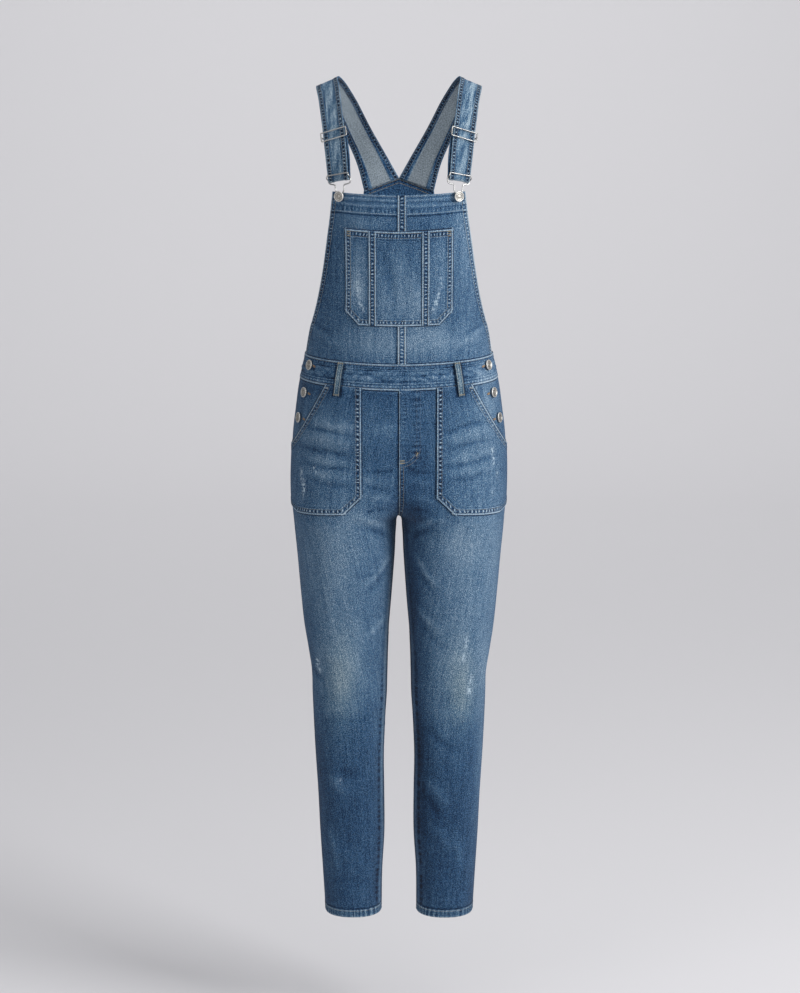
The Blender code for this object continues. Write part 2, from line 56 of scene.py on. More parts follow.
# ---- the garment's form
INNER, OUTER, FRONT, BACK, SIDE = range(1, 6)
BODY = (
    # height, inner side, outer side, front, back, side seam
    (-1408, 31, 125, -39, 60, 10),
    (-1337, 30, 129, -42, 60, 9),
    (-1266, 26, 133, -47, 61, 7),
    (-1195, 26, 136, -53, 62, 4),
    (-1125, 27, 140, -59, 62, 1),
    (-1055, 24, 143, -66, 62, -2),
    (-1020, 21.5, 144.1, -70, 63, -3),
    (-985, 20.5, 144.8, -74, 65, -4),
    (-945, 19.5, 150.5, -78, 70, -2),
    (-905, 17.5, 157, -82, 76, 0),
    (-850, 13, 162.5, -88, 84, 1),
    (-780, 8, 168.5, -95.5, 96, 3),
    (-740, 6, 172.3, -100.5, 105.5, 4),
    (-724, 4, 173.6, -102.8, 110.5, 5),
    (-716, 0.2, 174.2, -104, 113.5, 5),
    (-709, -11, 174.8, -105, 116.5, 5),
    (-698, -30, 175.5, -106.8, 121, 5),
    (-680, -64, 176.4, -109.5, 127.5, 5),
    (-655, -112, 176.8, -112.5, 134.5, 5),
    (-630, -155, 176.5, -114.5, 137.5, 5),
    (-608, -175.5, 175.5, -115, 137, 5),
    (-580, -173.5, 173.5, -115, 131, 4),
    (-540, -168.5, 168.5, -112, 119, 2),
    (-510, -164.5, 164.5, -110, 109, 1),
    (-490, -161, 161, -108, 103, 0),
    (-450, -152.5, 152.5, -104, 98, 0),
    (-410, -149.5, 149.5, -107, 96, 0),
    (-350, -149, 149, -114, 96, 0),
    (-280, -149.5, 149.5, -118, 98, 0),
    (-150, -150, 150, -118, 101, 0),
)
CROTCH, HEM = -716.0, -1407.0
WAIST_TOP, WAIST_BOTTOM = -451.0, -491.5
BIB_TOP = -182.0
BIB_SIDE = (
    # height, half width
    (-450, 150.5),
    (-408, 143.5),
    (-369, 133.5),
    (-311, 122),
    (-253, 113.5),
    (-196, 106),
    (-182, 104.5),
)
CHEVRON_PEAK, CHEVRON_FOOT, CHEVRON_HALF = -173.0, -194.0, 57.6
BACK_SIDE = (
    # share of the height from the waistband to the chevron, half width
    (0, 149),
    (0.2, 131),
    (0.45, 104),
    (0.7, 79),
    (0.9, 62),
    (1, 57.6),
)
STRAP_EDGES = (
    # inner x, y, z, outer x, y, z, from the hook over the shoulder to the back
    (80.3, -111, -155, 111.8, -92, -162),
    (82.4, -95.5, -121, 115.8, -82, -130),
    (86.0, -76, -87, 119.6, -66, -97.5),
    (90.2, -58, -55, 123.4, -51, -69),
    (94.3, -34, -23, 128.4, -30, -38),
    (97.6, -4, -4, 132.5, -4, -19.5),
    (88.8, 24, -11.5, 124.2, 21, -27),
    (76.5, 44, -31, 111.5, 40, -49),
    (65, 59, -52, 100.5, 54, -72),
    (46.4, 77, -90, 84.8, 70, -110),
    (23.6, 92, -131, 68.5, 85, -151),
)
HIP_POCKET_EDGES = (
    # a point of the edge, the direction out of the pocket
    ((60.5, 0), (-1, 0)),
    ((89, -697.5), (-1, -1)),
    ((89, -697.5), (-0.08, -1)),
    ((163, -703.5), (0.45, -1)),
    ((117, -490.5), (1, 0.52)),
)
BIB_POCKET_HALF, BIB_POCKET_SEAM, BIB_POCKET_CHAMFER = 84.0, 42.0, 20.5
BIB_POCKET_TOP, BIB_POCKET_BOTTOM = -239.5, -388.5
FELL_WIDTH, BIB_SEAM_WIDTH, BIB_SEAM_START = 11.5, 13.0, -2.0
LOOP_WIDTH, LOOP_TOP, LOOP_BOTTOM, LOOP_BOW = 12.0, -451.5, -506.5, 1.9
LOOP_X_TOP, LOOP_X_BOTTOM = 92.0, 99.5
STRAP_HEM, STRAP_THICK, STRAP_THIN = 8.5, 2.4, 1.4
SKIRT = 1.9  # how far a patch's rolled edge runs down onto the cloth under it
SIDE_BUTTONS = ((-463, 142.5), (-507.5, 152), (-550, 161.5))  # height, x
BIB_BUTTON_HEIGHT, BIB_BUTTON_X = -187.0, 91.8
WIRE = 1.25  # radius
PLY_GAP = 0.6  # between the wire and the cloth it passes
FOLD_RADIUS = WIRE + PLY_GAP + STRAP_THICK

BOW = (
    # height, half width, rise of the level lines there, their drop in the middle, on the front
    (-760, 170, 0, 0),
    (-690, 175, 0, 0),
    (-600, 172, 4, 1),
    (-491.5, 158, 3, 4),
    (-451, 150, 2.4, 3.2),
    (-388.5, 110, 0.5, 3),
    (-239.5, 84, 1.8, 2),
    (-182, 104, 2.2, 2.2),
    (-140, 104, 2.2, 2.2),
)

# ---- wear and creases, and painted light and shade
# Places are in front view for the front, and for the back as seen through from the front.
TONE = (
    # height, how far the dye is washed out where nothing rubs; the dip just below the waistband is painted
    # shadow
    (-1407, 0.185),
    (-1380, 0.185),
    (-1200, 0.195),
    (-1080, 0.225),
    (-1000, 0.285),
    (-900, 0.305),
    (-740, 0.325),
    (-640, 0.265),
    (-525, 0.265),
    # painted shadow: the dip just below the waistband
    (-498, 0.175),
    (-490, 0.325),
    (-440, 0.345),
    (-250, 0.345),
    (-150, 0.345),
)
FRONT_WASH_AND_SHADING = (
    # fades of the cloth, with painted light and shade among them where marked
    # x, height, half width, half height, amount, yellowing
    (-106, -800, 58, 150, 0.2, 0.2),
    (-84, -740, 44, 50, 0.06, 0),
    (116, -790, 58, 165, 0.21, 0.2),
    (-98, -990, 26, 84, 0.2, 1.5),
    (-80, -965, 38, 76, 0.15, 0.3),
    (104, -1000, 24, 64, 0.2, 1.5),
    (84, -965, 40, 84, 0.14, 0.5),
    (-118, -585, 44, 50, 0.15, 0.1),
    (118, -590, 44, 50, 0.16, 0.1),
    (-34, -655, 40, 26, 0.06, 0),
    # painted shade: darkens the +X hip, where the key light from +X falls strongest
    (40, -640, 54, 62, -0.1, 0),
    (2, -330, 14, 55, 0.13, 0),
    (-28, -350, 14, 40, 0.1, 0),
    (28, -365, 12, 34, 0.14, 0),
    (-66, -310, 13, 55, 0.17, 0.1),
    (64, -310, 14, 55, 0.13, 0),
    (-34, -422, 56, 18, 0.16, 0.1),
    (58, -420, 66, 22, 0.2, 0),
    # painted light on the +X edge of the bib, which faces the key light
    (114, -270, 20, 90, 0.16, 0),
    # painted shade on the -X edge of the bib, which faces away from the key light
    (-116, -310, 20, 120, -0.11, 0),
    (-96, -1166, 14, 20, 0.08, 0),
    (66, -1085, 36, 50, 0.06, 0.1),
    (66, -1240, 34, 130, -0.07, 0),
    (-84, -1200, 40, 120, -0.04, 0),
    (-26, -900, 14, 200, 0.04, 0),
    # this row and the next two: painted shade on the inner side of the +X leg, which faces away from the key
    # light
    (20, -880, 18, 190, -0.26, 0),
    (34, -1110, 13, 70, -0.2, 0),
    (40, -1230, 10, 40, -0.1, 0),
    # this row and the next: painted shade on the -X outer edge, which faces away from the key light
    (-136, -1120, 12, 90, -0.04, 0),
    (-150, -900, 10, 120, -0.06, 0),
    (0, -232, 76, 34, -0.12, 0),
    (102, -222, 16, 52, 0.14, 0),
    (-44, -400, 40, 14, 0.1, 0),
    (46, -400, 30, 14, 0.12, 0),
    # painted light on the +X hip below the waistband, which faces the key light
    (138, -500, 26, 44, 0.24, 0),
    (-50, -700, 36, 16, 0.12, 0),
    (100, -748, 42, 32, 0.12, 0),
    (104, -1032, 20, 30, 0.06, 0.3),
    (-66, -330, 12, 26, 0.2, 0),
    (0, -345, 30, 60, 0.08, 0),
    (0, -225, 90, 10, 0.06, 0),
    (-40, -232, 40, 20, 0.1, 0),
    (50, -472, 44, 12, 0.08, 0),
    (-96, -560, 34, 12, 0.12, 0),
    (-20, -556, 22, 14, 0.12, 0),
    # painted light on the +X outer edge, which faces the key light
    (150, -520, 16, 120, 0.1, 0),
    (20, -704, 50, 26, -0.14, 0),
    # this row and the next: painted light on the +X outer edge, which faces the key light
    (142, -1180, 14, 190, 0.26, 0),
    (142, -960, 12, 60, 0.14, 0),
    (-30, -1120, 12, 120, 0.1, 0),
    # painted light on the +X outer edge, which faces the key light
    (156, -760, 12, 110, 0.1, 0),
)
BACK_WASH = (
    # as in FRONT_WASH_AND_SHADING
    (-80, -645, 55, 75, 0.26, 0.1),
    (80, -645, 55, 75, 0.26, 0.1),
    (-98, -820, 46, 120, 0.18, 0.1),
    (98, -820, 46, 120, 0.18, 0.1),
    (-92, -985, 34, 50, 0.16, 0.4),
    (92, -985, 34, 50, 0.16, 0.4),
    (0, -340, 60, 80, 0.12, 0),
    (-24, -880, 14, 190, -0.14, 0),
    (24, -880, 14, 190, -0.14, 0),
)
FRONT_FOLDS = (
    # from x, height, to x, height, bow, half width, height of the ridge, change of the tone: paler on a
    # ridge, darker in a hollow
    (-150, -549, -62, -553, 3, 9, 0.8, 0.12),
    (-152, -562, -70, -566, 3, 3.8, -0.9, -0.29),
    (-166, -582, -64, -585, -4, 10, 0.8, 0.14),
    (-168, -600, -78, -604, -4, 4.6, -1, -0.27),
    (-158, -612, -70, -614, 3, 6, 0.6, 0.14),
    (-155, -622, -74, -622, 3, 3.4, -0.7, -0.22),
    (-160, -633, -70, -637, 2, 8, 0.6, 0.14),
    (-150, -646, -70, -652, 2, 4, -0.6, -0.18),
    (66, -566, 142, -553, -3, 3.6, -0.9, -0.24),
    (64, -580, 152, -567, -3, 8, 0.9, 0.12),
    (66, -595, 154, -584, -3, 3.6, -0.9, -0.2),
    (66, -607, 160, -596, 4, 7, 0.8, 0.12),
    (66, -619, 160, -609, 4, 3.6, -0.8, -0.19),
    (68, -630, 158, -622, 3, 7, 0.7, 0.11),
    (84, -641, 140, -634, 3, 4.6, -0.7, -0.17),
    (-56, -626, -4, -620, 3, 2.6, -0.6, -0.23),
    (-56, -640, -6, -638, 3, 6, 0.7, 0.13),
    (-56, -649, -8, -655, 3, 2.6, -0.6, -0.19),
    (-58, -664, -10, -670, 4, 5, 0.8, 0.18),
    (10, -616, 56, -629, 3, 2.6, -0.6, -0.23),
    (12, -634, 56, -646, 3, 6, 0.6, 0.13),
    (10, -668, 60, -678, -4, 5, 0.8, 0.16),
    (14, -690, 60, -700, -4, 3, -0.7, -0.22),
    (-14, -690, -60, -698, 4, 3, -0.7, -0.24),
    (-14, -732, -74, -702, 5, 6, 1.2, 0.22),
    (16, -732, 74, -706, -5, 6, 1.2, 0.2),
    (-16, -750, -60, -722, 5, 4, -1.0, -0.22),
    (18, -750, 64, -724, -5, 4, -1.0, -0.19),
    (-14, -774, -60, -822, -4, 5, 1.2, 0.27),
    (-18, -788, -58, -838, -4, 4, -1.0, -0.17),
    (-22, -878, -56, -910, -4, 5, 1.0, 0.24),
    (26, -768, 62, -820, 4, 5, 1.2, 0.3),
    (30, -788, 66, -842, 4, 4, -1.0, -0.14),
    (28, -852, 70, -900, 4, 5, 1.1, 0.27),
    (34, -880, 74, -930, 4, 4, -0.9, -0.14),
    (-140, -930, -70, -955, 4, 9, 1.0, 0.07),
    (70, -952, 142, -928, 4, 9, 1.0, 0.07),
    (-146, -962, -118, -990, 4, 5, -1.0, -0.17),
    (-138, -1046, -60, -1030, -5, 8, 1.1, 0.05),
    (-132, -1064, -52, -1052, -4, 6, -1.1, -0.07),
    (54, -1034, 136, -1050, 5, 8, 1.1, 0.05),
    (46, -1066, 104, -1112, 6, 6, -1.1, -0.2),
    (-118, -1150, -84, -1186, 3, 6, 1.2, 0.2),
    (-104, -1138, -60, -1150, 3, 9, -1.0, -0.13),
    (-130, -1270, -70, -1300, 5, 10, 1.0, 0.07),
    (38, -1158, 86, -1210, -4, 7, 1.2, 0.2),
    (34, -1180, 70, -1232, -4, 6, -1.1, -0.17),
    (50, -1238, 90, -1290, -4, 9, 1.2, 0.14),
    (96, -1230, 112, -1330, 6, 5, 1.0, 0.12),
    (-122, -1240, -104, -1340, -5, 5, 1.0, 0.13),
    (-110, -1335, -48, -1350, -3, 8, -0.9, -0.06),
    (-96, -212, -40, -238, 2, 7, 0.4, 0.09),
    (92, -426, 142, -398, 3, 5, 0.7, 0.17),
    (98, -408, 146, -388, 3, 3, -0.6, -0.14),
    (-144, -398, -92, -426, 3, 5, 0.7, 0.13),
    (-146, -386, -100, -410, 3, 3, -0.6, -0.14),
    (22, -300, 34, -376, 3, 8, 0.6, 0.12),
    (-32, -262, -10, -350, -3, 9, -0.6, -0.14),
    (-14, -280, -4, -360, 3, 5, -0.5, -0.1),
)
BACK_FOLDS = (
    # as in FRONT_FOLDS
    (-150, -560, -60, -575, 4, 8, 0.8, 0.06),
    (60, -575, 150, -560, -4, 8, 0.8, 0.09),
    (-20, -730, -120, -712, 8, 8, 1.4, 0.12),
    (22, -730, 122, -714, -8, 8, 1.4, 0.12),
    (-18, -748, -112, -740, 7, 5, -1.3, -0.17),
    (20, -748, 114, -738, -7, 5, -1.3, -0.17),
    (-24, -768, -100, -776, 5, 8, 1.1, 0.09),
    (24, -770, 98, -778, -5, 8, 1.1, 0.09),
    (-148, -940, -52, -952, 4, 7, 1.2, 0.14),
    (50, -950, 148, -938, -4, 7, 1.2, 0.14),
    (-142, -958, -44, -966, 4, 4, -1.3, -0.29),
    (44, -968, 142, -956, -4, 4, -1.3, -0.29),
    (-138, -974, -40, -984, 4, 7, 1.4, 0.17),
    (40, -984, 140, -972, -4, 7, 1.4, 0.17),
    (-136, -992, -44, -998, 3, 4, -1.2, -0.29),
    (46, -1000, 136, -990, -3, 4, -1.2, -0.29),
    (-134, -1008, -46, -1016, 3, 8, 1.0, 0.12),
    (48, -1018, 132, -1008, -3, 8, 1.0, 0.12),
    (-124, -1280, -50, -1300, 4, 9, 1.0, 0.07),
    (50, -1304, 122, -1284, -4, 9, 1.0, 0.07),
    (-118, -1330, -44, -1340, 3, 8, -0.9, -0.06),
    (44, -1344, 118, -1330, -3, 8, -0.9, -0.06),
    (-60, -300, -20, -420, 6, 12, 0.8, 0.06),
    (24, -300, 62, -418, -6, 12, 0.8, 0.06),
)
SCUFFS = (
    # x, height, half width, half height, strength, all on the front
    (-157, -642, 2.4, 9, 0.7),
    (-153, -662, 2.8, 14, 0.85),
    (-136, -627, 3, 4, 0.6),
    (-132, -634, 3, 3, 0.5),
    (-120, -640, 3, 5, 0.35),
    (-112, -652, 3, 5, 0.25),
    (149, -604, 2, 10, 0.7),
    (152, -620, 1.8, 9, 0.7),
    (157, -640, 2, 7, 0.5),
    (150, -668, 3, 6, 0.4),
    (-134, -956, 3, 9, 0.9),
    (-131, -970, 3, 6, 0.8),
    (110, -914, 3, 7, 0.8),
    (109, -926, 4, 5, 0.7),
    (106, -944, 3, 7, 0.9),
    (118, -984, 4, 10, 0.7),
    (116, -1004, 5, 9, 0.7),
    (-66, -322, 2.6, 9, 0.6),
    (-64, -338, 4, 11, 0.7),
    (-61, -356, 3.4, 7, 0.6),
    (-55, -364, 3.4, 4, 0.5),
    (66, -322, 2.2, 11, 0.5),
    (62, -342, 3, 9, 0.65),
    (58, -354, 3.4, 6, 0.75),
    (54, -364, 3, 5, 0.6),
    (-52, -640, 3, 3, 0.4),
    (-98, -1163, 4, 5, 0.5),
)
SEAM = (
    # place across a turned edge 10 wide, change of the wash and shading, share of the ladder. Outside the
    # edge, below 0, the dark rows are painted shadow where the rolled edge meets the cloth under it; the dark
    # grooves beside the stitch rows are partly painted shade.
    (-4.4, -0.1, 0),
    (-3.1, -0.49, 0),
    (-0.6, -0.49, 0),
    (-0.1, 0.1, 0),
    (0.4, 0.49, 0.1),
    (1.6, 0.45, 0.1),
    (2.2, -0.06, 0),
    (2.8, -0.4, 0),
    (3.6, -0.2, 0.5),
    (4.4, -0.04, 1.0),
    (6.4, -0.04, 1.0),
    (7.4, -0.14, 0.4),
    (8.2, -0.32, 0),
    (9.1, 0.14, 0.1),
    (10.0, 0.12, 0.1),
    (10.9, -0.2, 0),
    (12.6, 0, 0),
)
LADDER = 5.6  # pitch of the puckers along a seam


# ---- smooth sections
SHARES = 241  # points along one half of a level section


def smooth(table, column, at):
    """The cubic through a table's rows, whose slopes come from the neighbouring rows."""
    rows = np.array(table, float)
    rows = rows[np.argsort(rows[:, 0])]
    known, values = rows[:, 0], rows[:, column]
    slopes = np.gradient(values, known)
    low = np.clip(np.searchsorted(known, at) - 1, 0, len(known) - 2)
    step = known[low + 1] - known[low]
    t = (at - known[low]) / step
    ease = t * t * (3 - 2 * t)
    bend = slopes[low] * t * (1 - t) ** 2 - slopes[low + 1] * t * t * (1 - t)
    return values[low] * (1 - ease) + values[low + 1] * ease + step * bend


def running(lengths):
    """Distances along a line whose stretches have these lengths."""
    return np.concatenate(([0], np.cumsum(lengths)))


def run_along(points):
    return running(np.linalg.norm(np.diff(points, axis=0), axis=1))


def unit(vectors):
    return vectors / np.linalg.norm(vectors, axis=-1, keepdims=True)


def steps(*stretches):
    """Places along a line: each stretch is its start, its end and a step."""
    found = []
    for start, end, step in stretches:
        found.append(np.linspace(start, end, max(1, round(abs(end - start) / step)), endpoint=False))
    return np.concatenate((*found, [stretches[-1][1]]))


def ramp(value, low, high):
    """A smooth step from 0 at low to 1 at high."""
    t = np.clip((value - low) / (high - low), 0, 1)
    return t * t * (3 - 2 * t)


def hill(value, centre, half):
    """A bell of unit height."""
    return np.exp(-(((value - centre) / half) ** 2))


def wobble(t, seed):
    """An uneven wave of about unit height, whose lengths suit t in millimetres."""
    long_wave, wave = 0.2 * np.sin(t / 23.9 + 4.1 * seed), 0.5 * np.sin(t / 11.3 + seed)
    return wave + 0.3 * np.sin(t / 4.7 + 2.3 * seed) + long_wave


def rungs(t, period, seed):
    """The uneven ladder of puckers along a washed seam, from -1 in a hollow to 1 on a crest."""
    phase = t / period + 0.45 * np.sin(t / 19.0 + seed) + 0.25 * np.sin(t / 7.3 + 1.7 * seed)
    return np.sin(2 * pi * phase) * (0.72 + 0.28 * np.sin(t / 13.0 + 3 * seed))


def section(height, back):
    """x, y and the distance from the side seam along one half of a level section."""
    inner, outer, side = (float(smooth(BODY, k, height)) for k in (INNER, OUTER, SIDE))
    reach = float(smooth(BODY, BACK if back else FRONT, height)) - side
    middle, half = (inner + outer) / 2, (outer - inner) / 2
    last = pi if inner > 0 else pi - np.arccos(max(middle / half, 0) ** (POWER / 2))
    angle = np.linspace(0, last, SHARES)
    across = np.cos(angle)
    x = np.maximum(middle + half * np.sign(across) * np.abs(across) ** (2 / POWER), 0)
    y = side + reach * np.abs(np.sin(angle)) ** (2 / POWER)
    return x, y, running(np.hypot(np.diff(x), np.diff(y)))


class Form:
    """The front or the back of the garment, as a surface to lay cloth on."""

    STEP = 1.0  # height between two sections
    NUDGES = 1.5, 2.0  # how far across and up the neighbours lie that give a normal
    HALVINGS = 24

    def __init__(self, back):
        self.back, self.facing = back, 1 if back else -1
        self.heights = np.arange(HEM - 4, BIB_TOP + 30, self.STEP)
        rows = [section(height, back) for height in self.heights]
        shares = np.linspace(0, 1, SHARES)
        self.x = np.array([np.interp(shares * run[-1], run, x) for x, _, run in rows])
        self.y = np.array([np.interp(shares * run[-1], run, y) for _, y, run in rows])
        self.reach = np.array([run[-1] for _, _, run in rows])

    def span(self, height):
        """Distance from the side seam to the middle, or to the inner leg seam."""
        return np.interp(height, self.heights, self.reach)

    def place(self, away, height):
        """x and y at a distance from the side seam."""
        row = np.clip((height - self.heights[0]) / self.STEP, 0, len(self.heights) - 1.001)
        share = np.clip(away / self.span(height), 0, 1) * (SHARES - 1)
        i, j = row.astype(int), np.minimum(share.astype(int), SHARES - 2)
        a, b = row - i, share - j
        found = []
        for grid in (self.x, self.y):
            low = grid[i, j] * (1 - b) + grid[i, j + 1] * b
            high = grid[i + 1, j] * (1 - b) + grid[i + 1, j + 1] * b
            found.append(low * (1 - a) + high * a)
        return found

    def away_of(self, x, height):
        """The distance from the side seam at which the surface has this x."""
        low, high = np.zeros_like(x), self.span(height)
        for _ in range(self.HALVINGS):
            middle = (low + high) / 2
            outside = self.place(middle, height)[0] > x
            low, high = np.where(outside, middle, low), np.where(outside, high, middle)
        return (low + high) / 2

    def bow(self, x, height):
        """How far a level line of the front is off level at x."""
        if self.back:
            return np.zeros_like(x)
        levels, *columns = zip(*BOW)
        half, rise, drop = (np.interp(height, levels, column) for column in columns)
        return (rise + drop) * np.clip(x / half, 0, 1.1) ** 1.5 - drop

    def points(self, away, height, side):
        """Places and outward normals."""
        def spot(a, h):
            x, y = self.place(a, h)
            return np.stack((x, y, h + self.bow(x, h)), -1)

        across, up = self.NUDGES
        beyond, before = np.minimum(away + across, self.span(height)), np.maximum(away - across, 0)
        along = spot(beyond, height) - spot(before, height)
        rise = spot(away, height + up) - spot(away, height - up)
        normal = unit(np.cross(along, rise) * self.facing)
        normal *= np.where(normal[..., 1:2] * self.facing < -0.6, -1, 1)
        turn = np.stack((side * np.ones_like(away), np.ones_like(away), np.ones_like(away)), -1)
        return spot(away, height) * turn, normal * turn


front_form, back_form = Form(False), Form(True)
FORMS = ((front_form, "front"), (back_form, "back"))


# ---- relief and wear
def loop_share(height):
    """How far down a belt loop a height is."""
    return (LOOP_TOP - height) / (LOOP_TOP - LOOP_BOTTOM)


def loop_x(share):
    return LOOP_X_TOP + share * (LOOP_X_BOTTOM - LOOP_X_TOP)


class Cloth:
    """Points on a form, with their relief, their wear and their painted light and shade, which seams and
    creases add to.
    """

    FIELDS = "wash", "yellow", "scuff", "hem", "inward", "along", "calm"
    NO_EDGE = 99.0  # distance from an edge where the cloth has none
    SEAM_WIDTH = 10  # width that SEAM's places are given for

    def __init__(self, form, away, height, side, lift):
        self.form, self.away, self.height = form, away, height
        self.rest, self.normal = form.points(away, height, side)
        self.x, self.relief = self.rest[..., 0], np.full(away.shape, float(lift))
        self.wash = np.interp(height, *zip(*TONE))
        self.yellow, self.scuff, self.hem, self.along, self.skirt, self.calm = np.zeros((6, *away.shape))
        self.inward, self.drop = np.full(away.shape, self.NO_EDGE), max(lift - 0.15, 0)
        self.crease()

    def spot(self, x, height, wide, tall):
        """A patch that fades out all round."""
        return np.exp(-(((self.x - x) / wide) ** 2) - ((self.height - height) / tall) ** 2)

    def crease(self):
        """The wear, the painted light and shade and the folds of the tables, the painted shade beside the
        belt loops, and a darkening towards the side seams.
        """
        washes, folds = (BACK_WASH, BACK_FOLDS) if self.form.back else (FRONT_WASH_AND_SHADING, FRONT_FOLDS)
        for *place, amount, yellow in washes:
            patch = self.spot(*place)
            self.wash += amount * patch
            self.yellow += yellow * patch
        for *place, amount in () if self.form.back else SCUFFS:
            self.scuff += amount * self.spot(*place)
        inside = ramp(self.away, 2, 16) * ramp(self.form.span(self.height) - self.away, -1, 6)
        for x0, z0, x1, z1, bow, wide, ridge, fold_tone in folds:
            length = np.hypot(x1 - x0, z1 - z0)
            dx, dz = (x1 - x0) / length, (z1 - z0) / length
            t = ((self.x - x0) * dx + (self.height - z0) * dz) / length
            off = (self.x - x0) * dz - (self.height - z0) * dx - 4 * bow * t * (1 - t)
            off = off + 1.6 * wobble(t * length, x0)
            shape = np.clip(1 - (2 * t - 1) ** 2, 0, 1) ** 0.7 * np.exp(-((off / wide) ** 2))
            self.relief += ridge * shape * inside
            self.wash += fold_tone * shape * (0.8 + 0.35 * wobble(t * length * 1.7, z0))
        share = loop_share(self.height)
        beside = np.abs(np.abs(self.x) - loop_x(share)) - LOOP_WIDTH / 2
        # painted shade on the cloth beside each belt loop
        self.wash -= 0.4 * hill(beside, 0.4, 1.5) * ramp(share, 0.02, 0.12) * ramp(-share, -1.06, -1.0)
        slow = np.sin(self.height / 47 + self.x / 61) + 0.7 * np.sin(self.height / 29 - self.x / 37 + 1.3)
        self.relief += 0.6 * slow * inside
        # darker towards the side seam: partly the less faded sides, partly painted shade where the cloth
        # turns away
        self.wash -= 0.1 * np.exp(-self.away / 22)

    def edge(
        self, inward, along, width, rows, seed,
        rope=0.4, layer=0.5, pucker=0.35, period=LADDER, fold=False, calm=0.0,
    ):
        """A turned edge: roped at its rim, puckered between its rows, and thicker as far as its width. The
        distance from the edge that it keeps gives the shader the painted shadow outside the edge and the
        painted shade in its grooves.
        """
        first, last = rows[0], rows[-1]
        between = ramp(inward, first - 0.3, first + 1.2) * ramp(last + 1.6, inward - 1.4, inward + 0.3)
        self.relief += layer * ramp(width + 1.2, inward - 1, inward + 1) + rope * hill(inward, 1.0, 1.0)
        self.relief += pucker * rungs(along, period, seed) * between
        self.relief -= 0.25 * sum(hill(inward, row, 0.6) for row in rows)
        self.hem = np.maximum(self.hem, ramp(width + 0.5, inward - 0.5, inward + 0.5))
        if not fold:
            self.skirt = np.maximum(self.skirt, ramp(-inward, 0.0, SKIRT - 0.1))
        place = inward * self.SEAM_WIDTH / width
        nearest = np.abs(place) < np.abs(self.inward)
        self.inward = np.where(nearest, place, self.inward)
        self.along = np.where(nearest, along * LADDER / period + 50 * seed, self.along)
        self.calm = np.where(nearest, calm, self.calm)

    def final(self):
        return self.rest + self.normal * (self.relief - self.drop * self.skirt)[..., None]


# ---- materials
class Finish:
    """One material, with short names for its shader nodes."""

    def __init__(self, name):
        self.material = bpy.data.materials.new(name)
        self.material.use_nodes = True
        self.nodes, self.links = self.material.node_tree.nodes, self.material.node_tree.links
        self.shader = self.nodes["Principled BSDF"]

    def feed(self, socket, value):
        """Joins a socket to another node's output, or sets its own value."""
        if isinstance(value, bpy.types.NodeSocket):
            self.links.new(value, socket)
        elif socket.type == "RGBA":
            socket.default_value = (*value, 1)
        else:
            socket.default_value = value

    def fill(self, node, **inputs):
        for key, value in inputs.items():
            self.feed(node.inputs[key.replace("_", " ")], value)
        return node

    def node(self, kind, **inputs):
        return self.fill(self.nodes.new("ShaderNode" + kind), **inputs)

    def field(self, name):
        node = self.node("Attribute")
        node.attribute_name = name
        return node.outputs["Fac"]

    def math(self, operation, *values, clamp=False):
        node = self.node("Math")
        node.operation, node.use_clamp = operation, clamp
        for socket, value in zip(node.inputs, values):
            self.feed(socket, value)
        return node.outputs["Value"]

    def times(self, first, second, clamp=False):
        return self.math("MULTIPLY", first, second, clamp=clamp)

    def total(self, *values):
        found = values[0]
        for value in values[1:]:
            found = self.math("ADD", found, value)
        return found

    def centred(self, value, amount):
        """A noise value about 0, times an amount."""
        return self.times(self.math("SUBTRACT", value, 0.5), amount)

    def ramp(self, value, stops):
        node = self.node("ValToRGB", Fac=value)
        marks = node.color_ramp.elements
        for mark, (position, colour) in zip(marks, (stops[0], stops[-1])):
            mark.position, mark.color = position, (*colour, 1)
        for position, colour in stops[1:-1]:
            marks.new(position).color = (*colour, 1)
        return node.outputs["Color"]

    def mix(self, share, first, second, blend="MIX"):
        node = self.node("Mix")
        node.data_type, node.blend_type = "RGBA", blend
        self.feed(node.inputs[0], share)
        colours = [socket for socket in node.inputs if socket.type == "RGBA"]
        for socket, value in zip(colours, (first, second)):
            self.feed(socket, value)
        return next(socket for socket in node.outputs if socket.type == "RGBA")


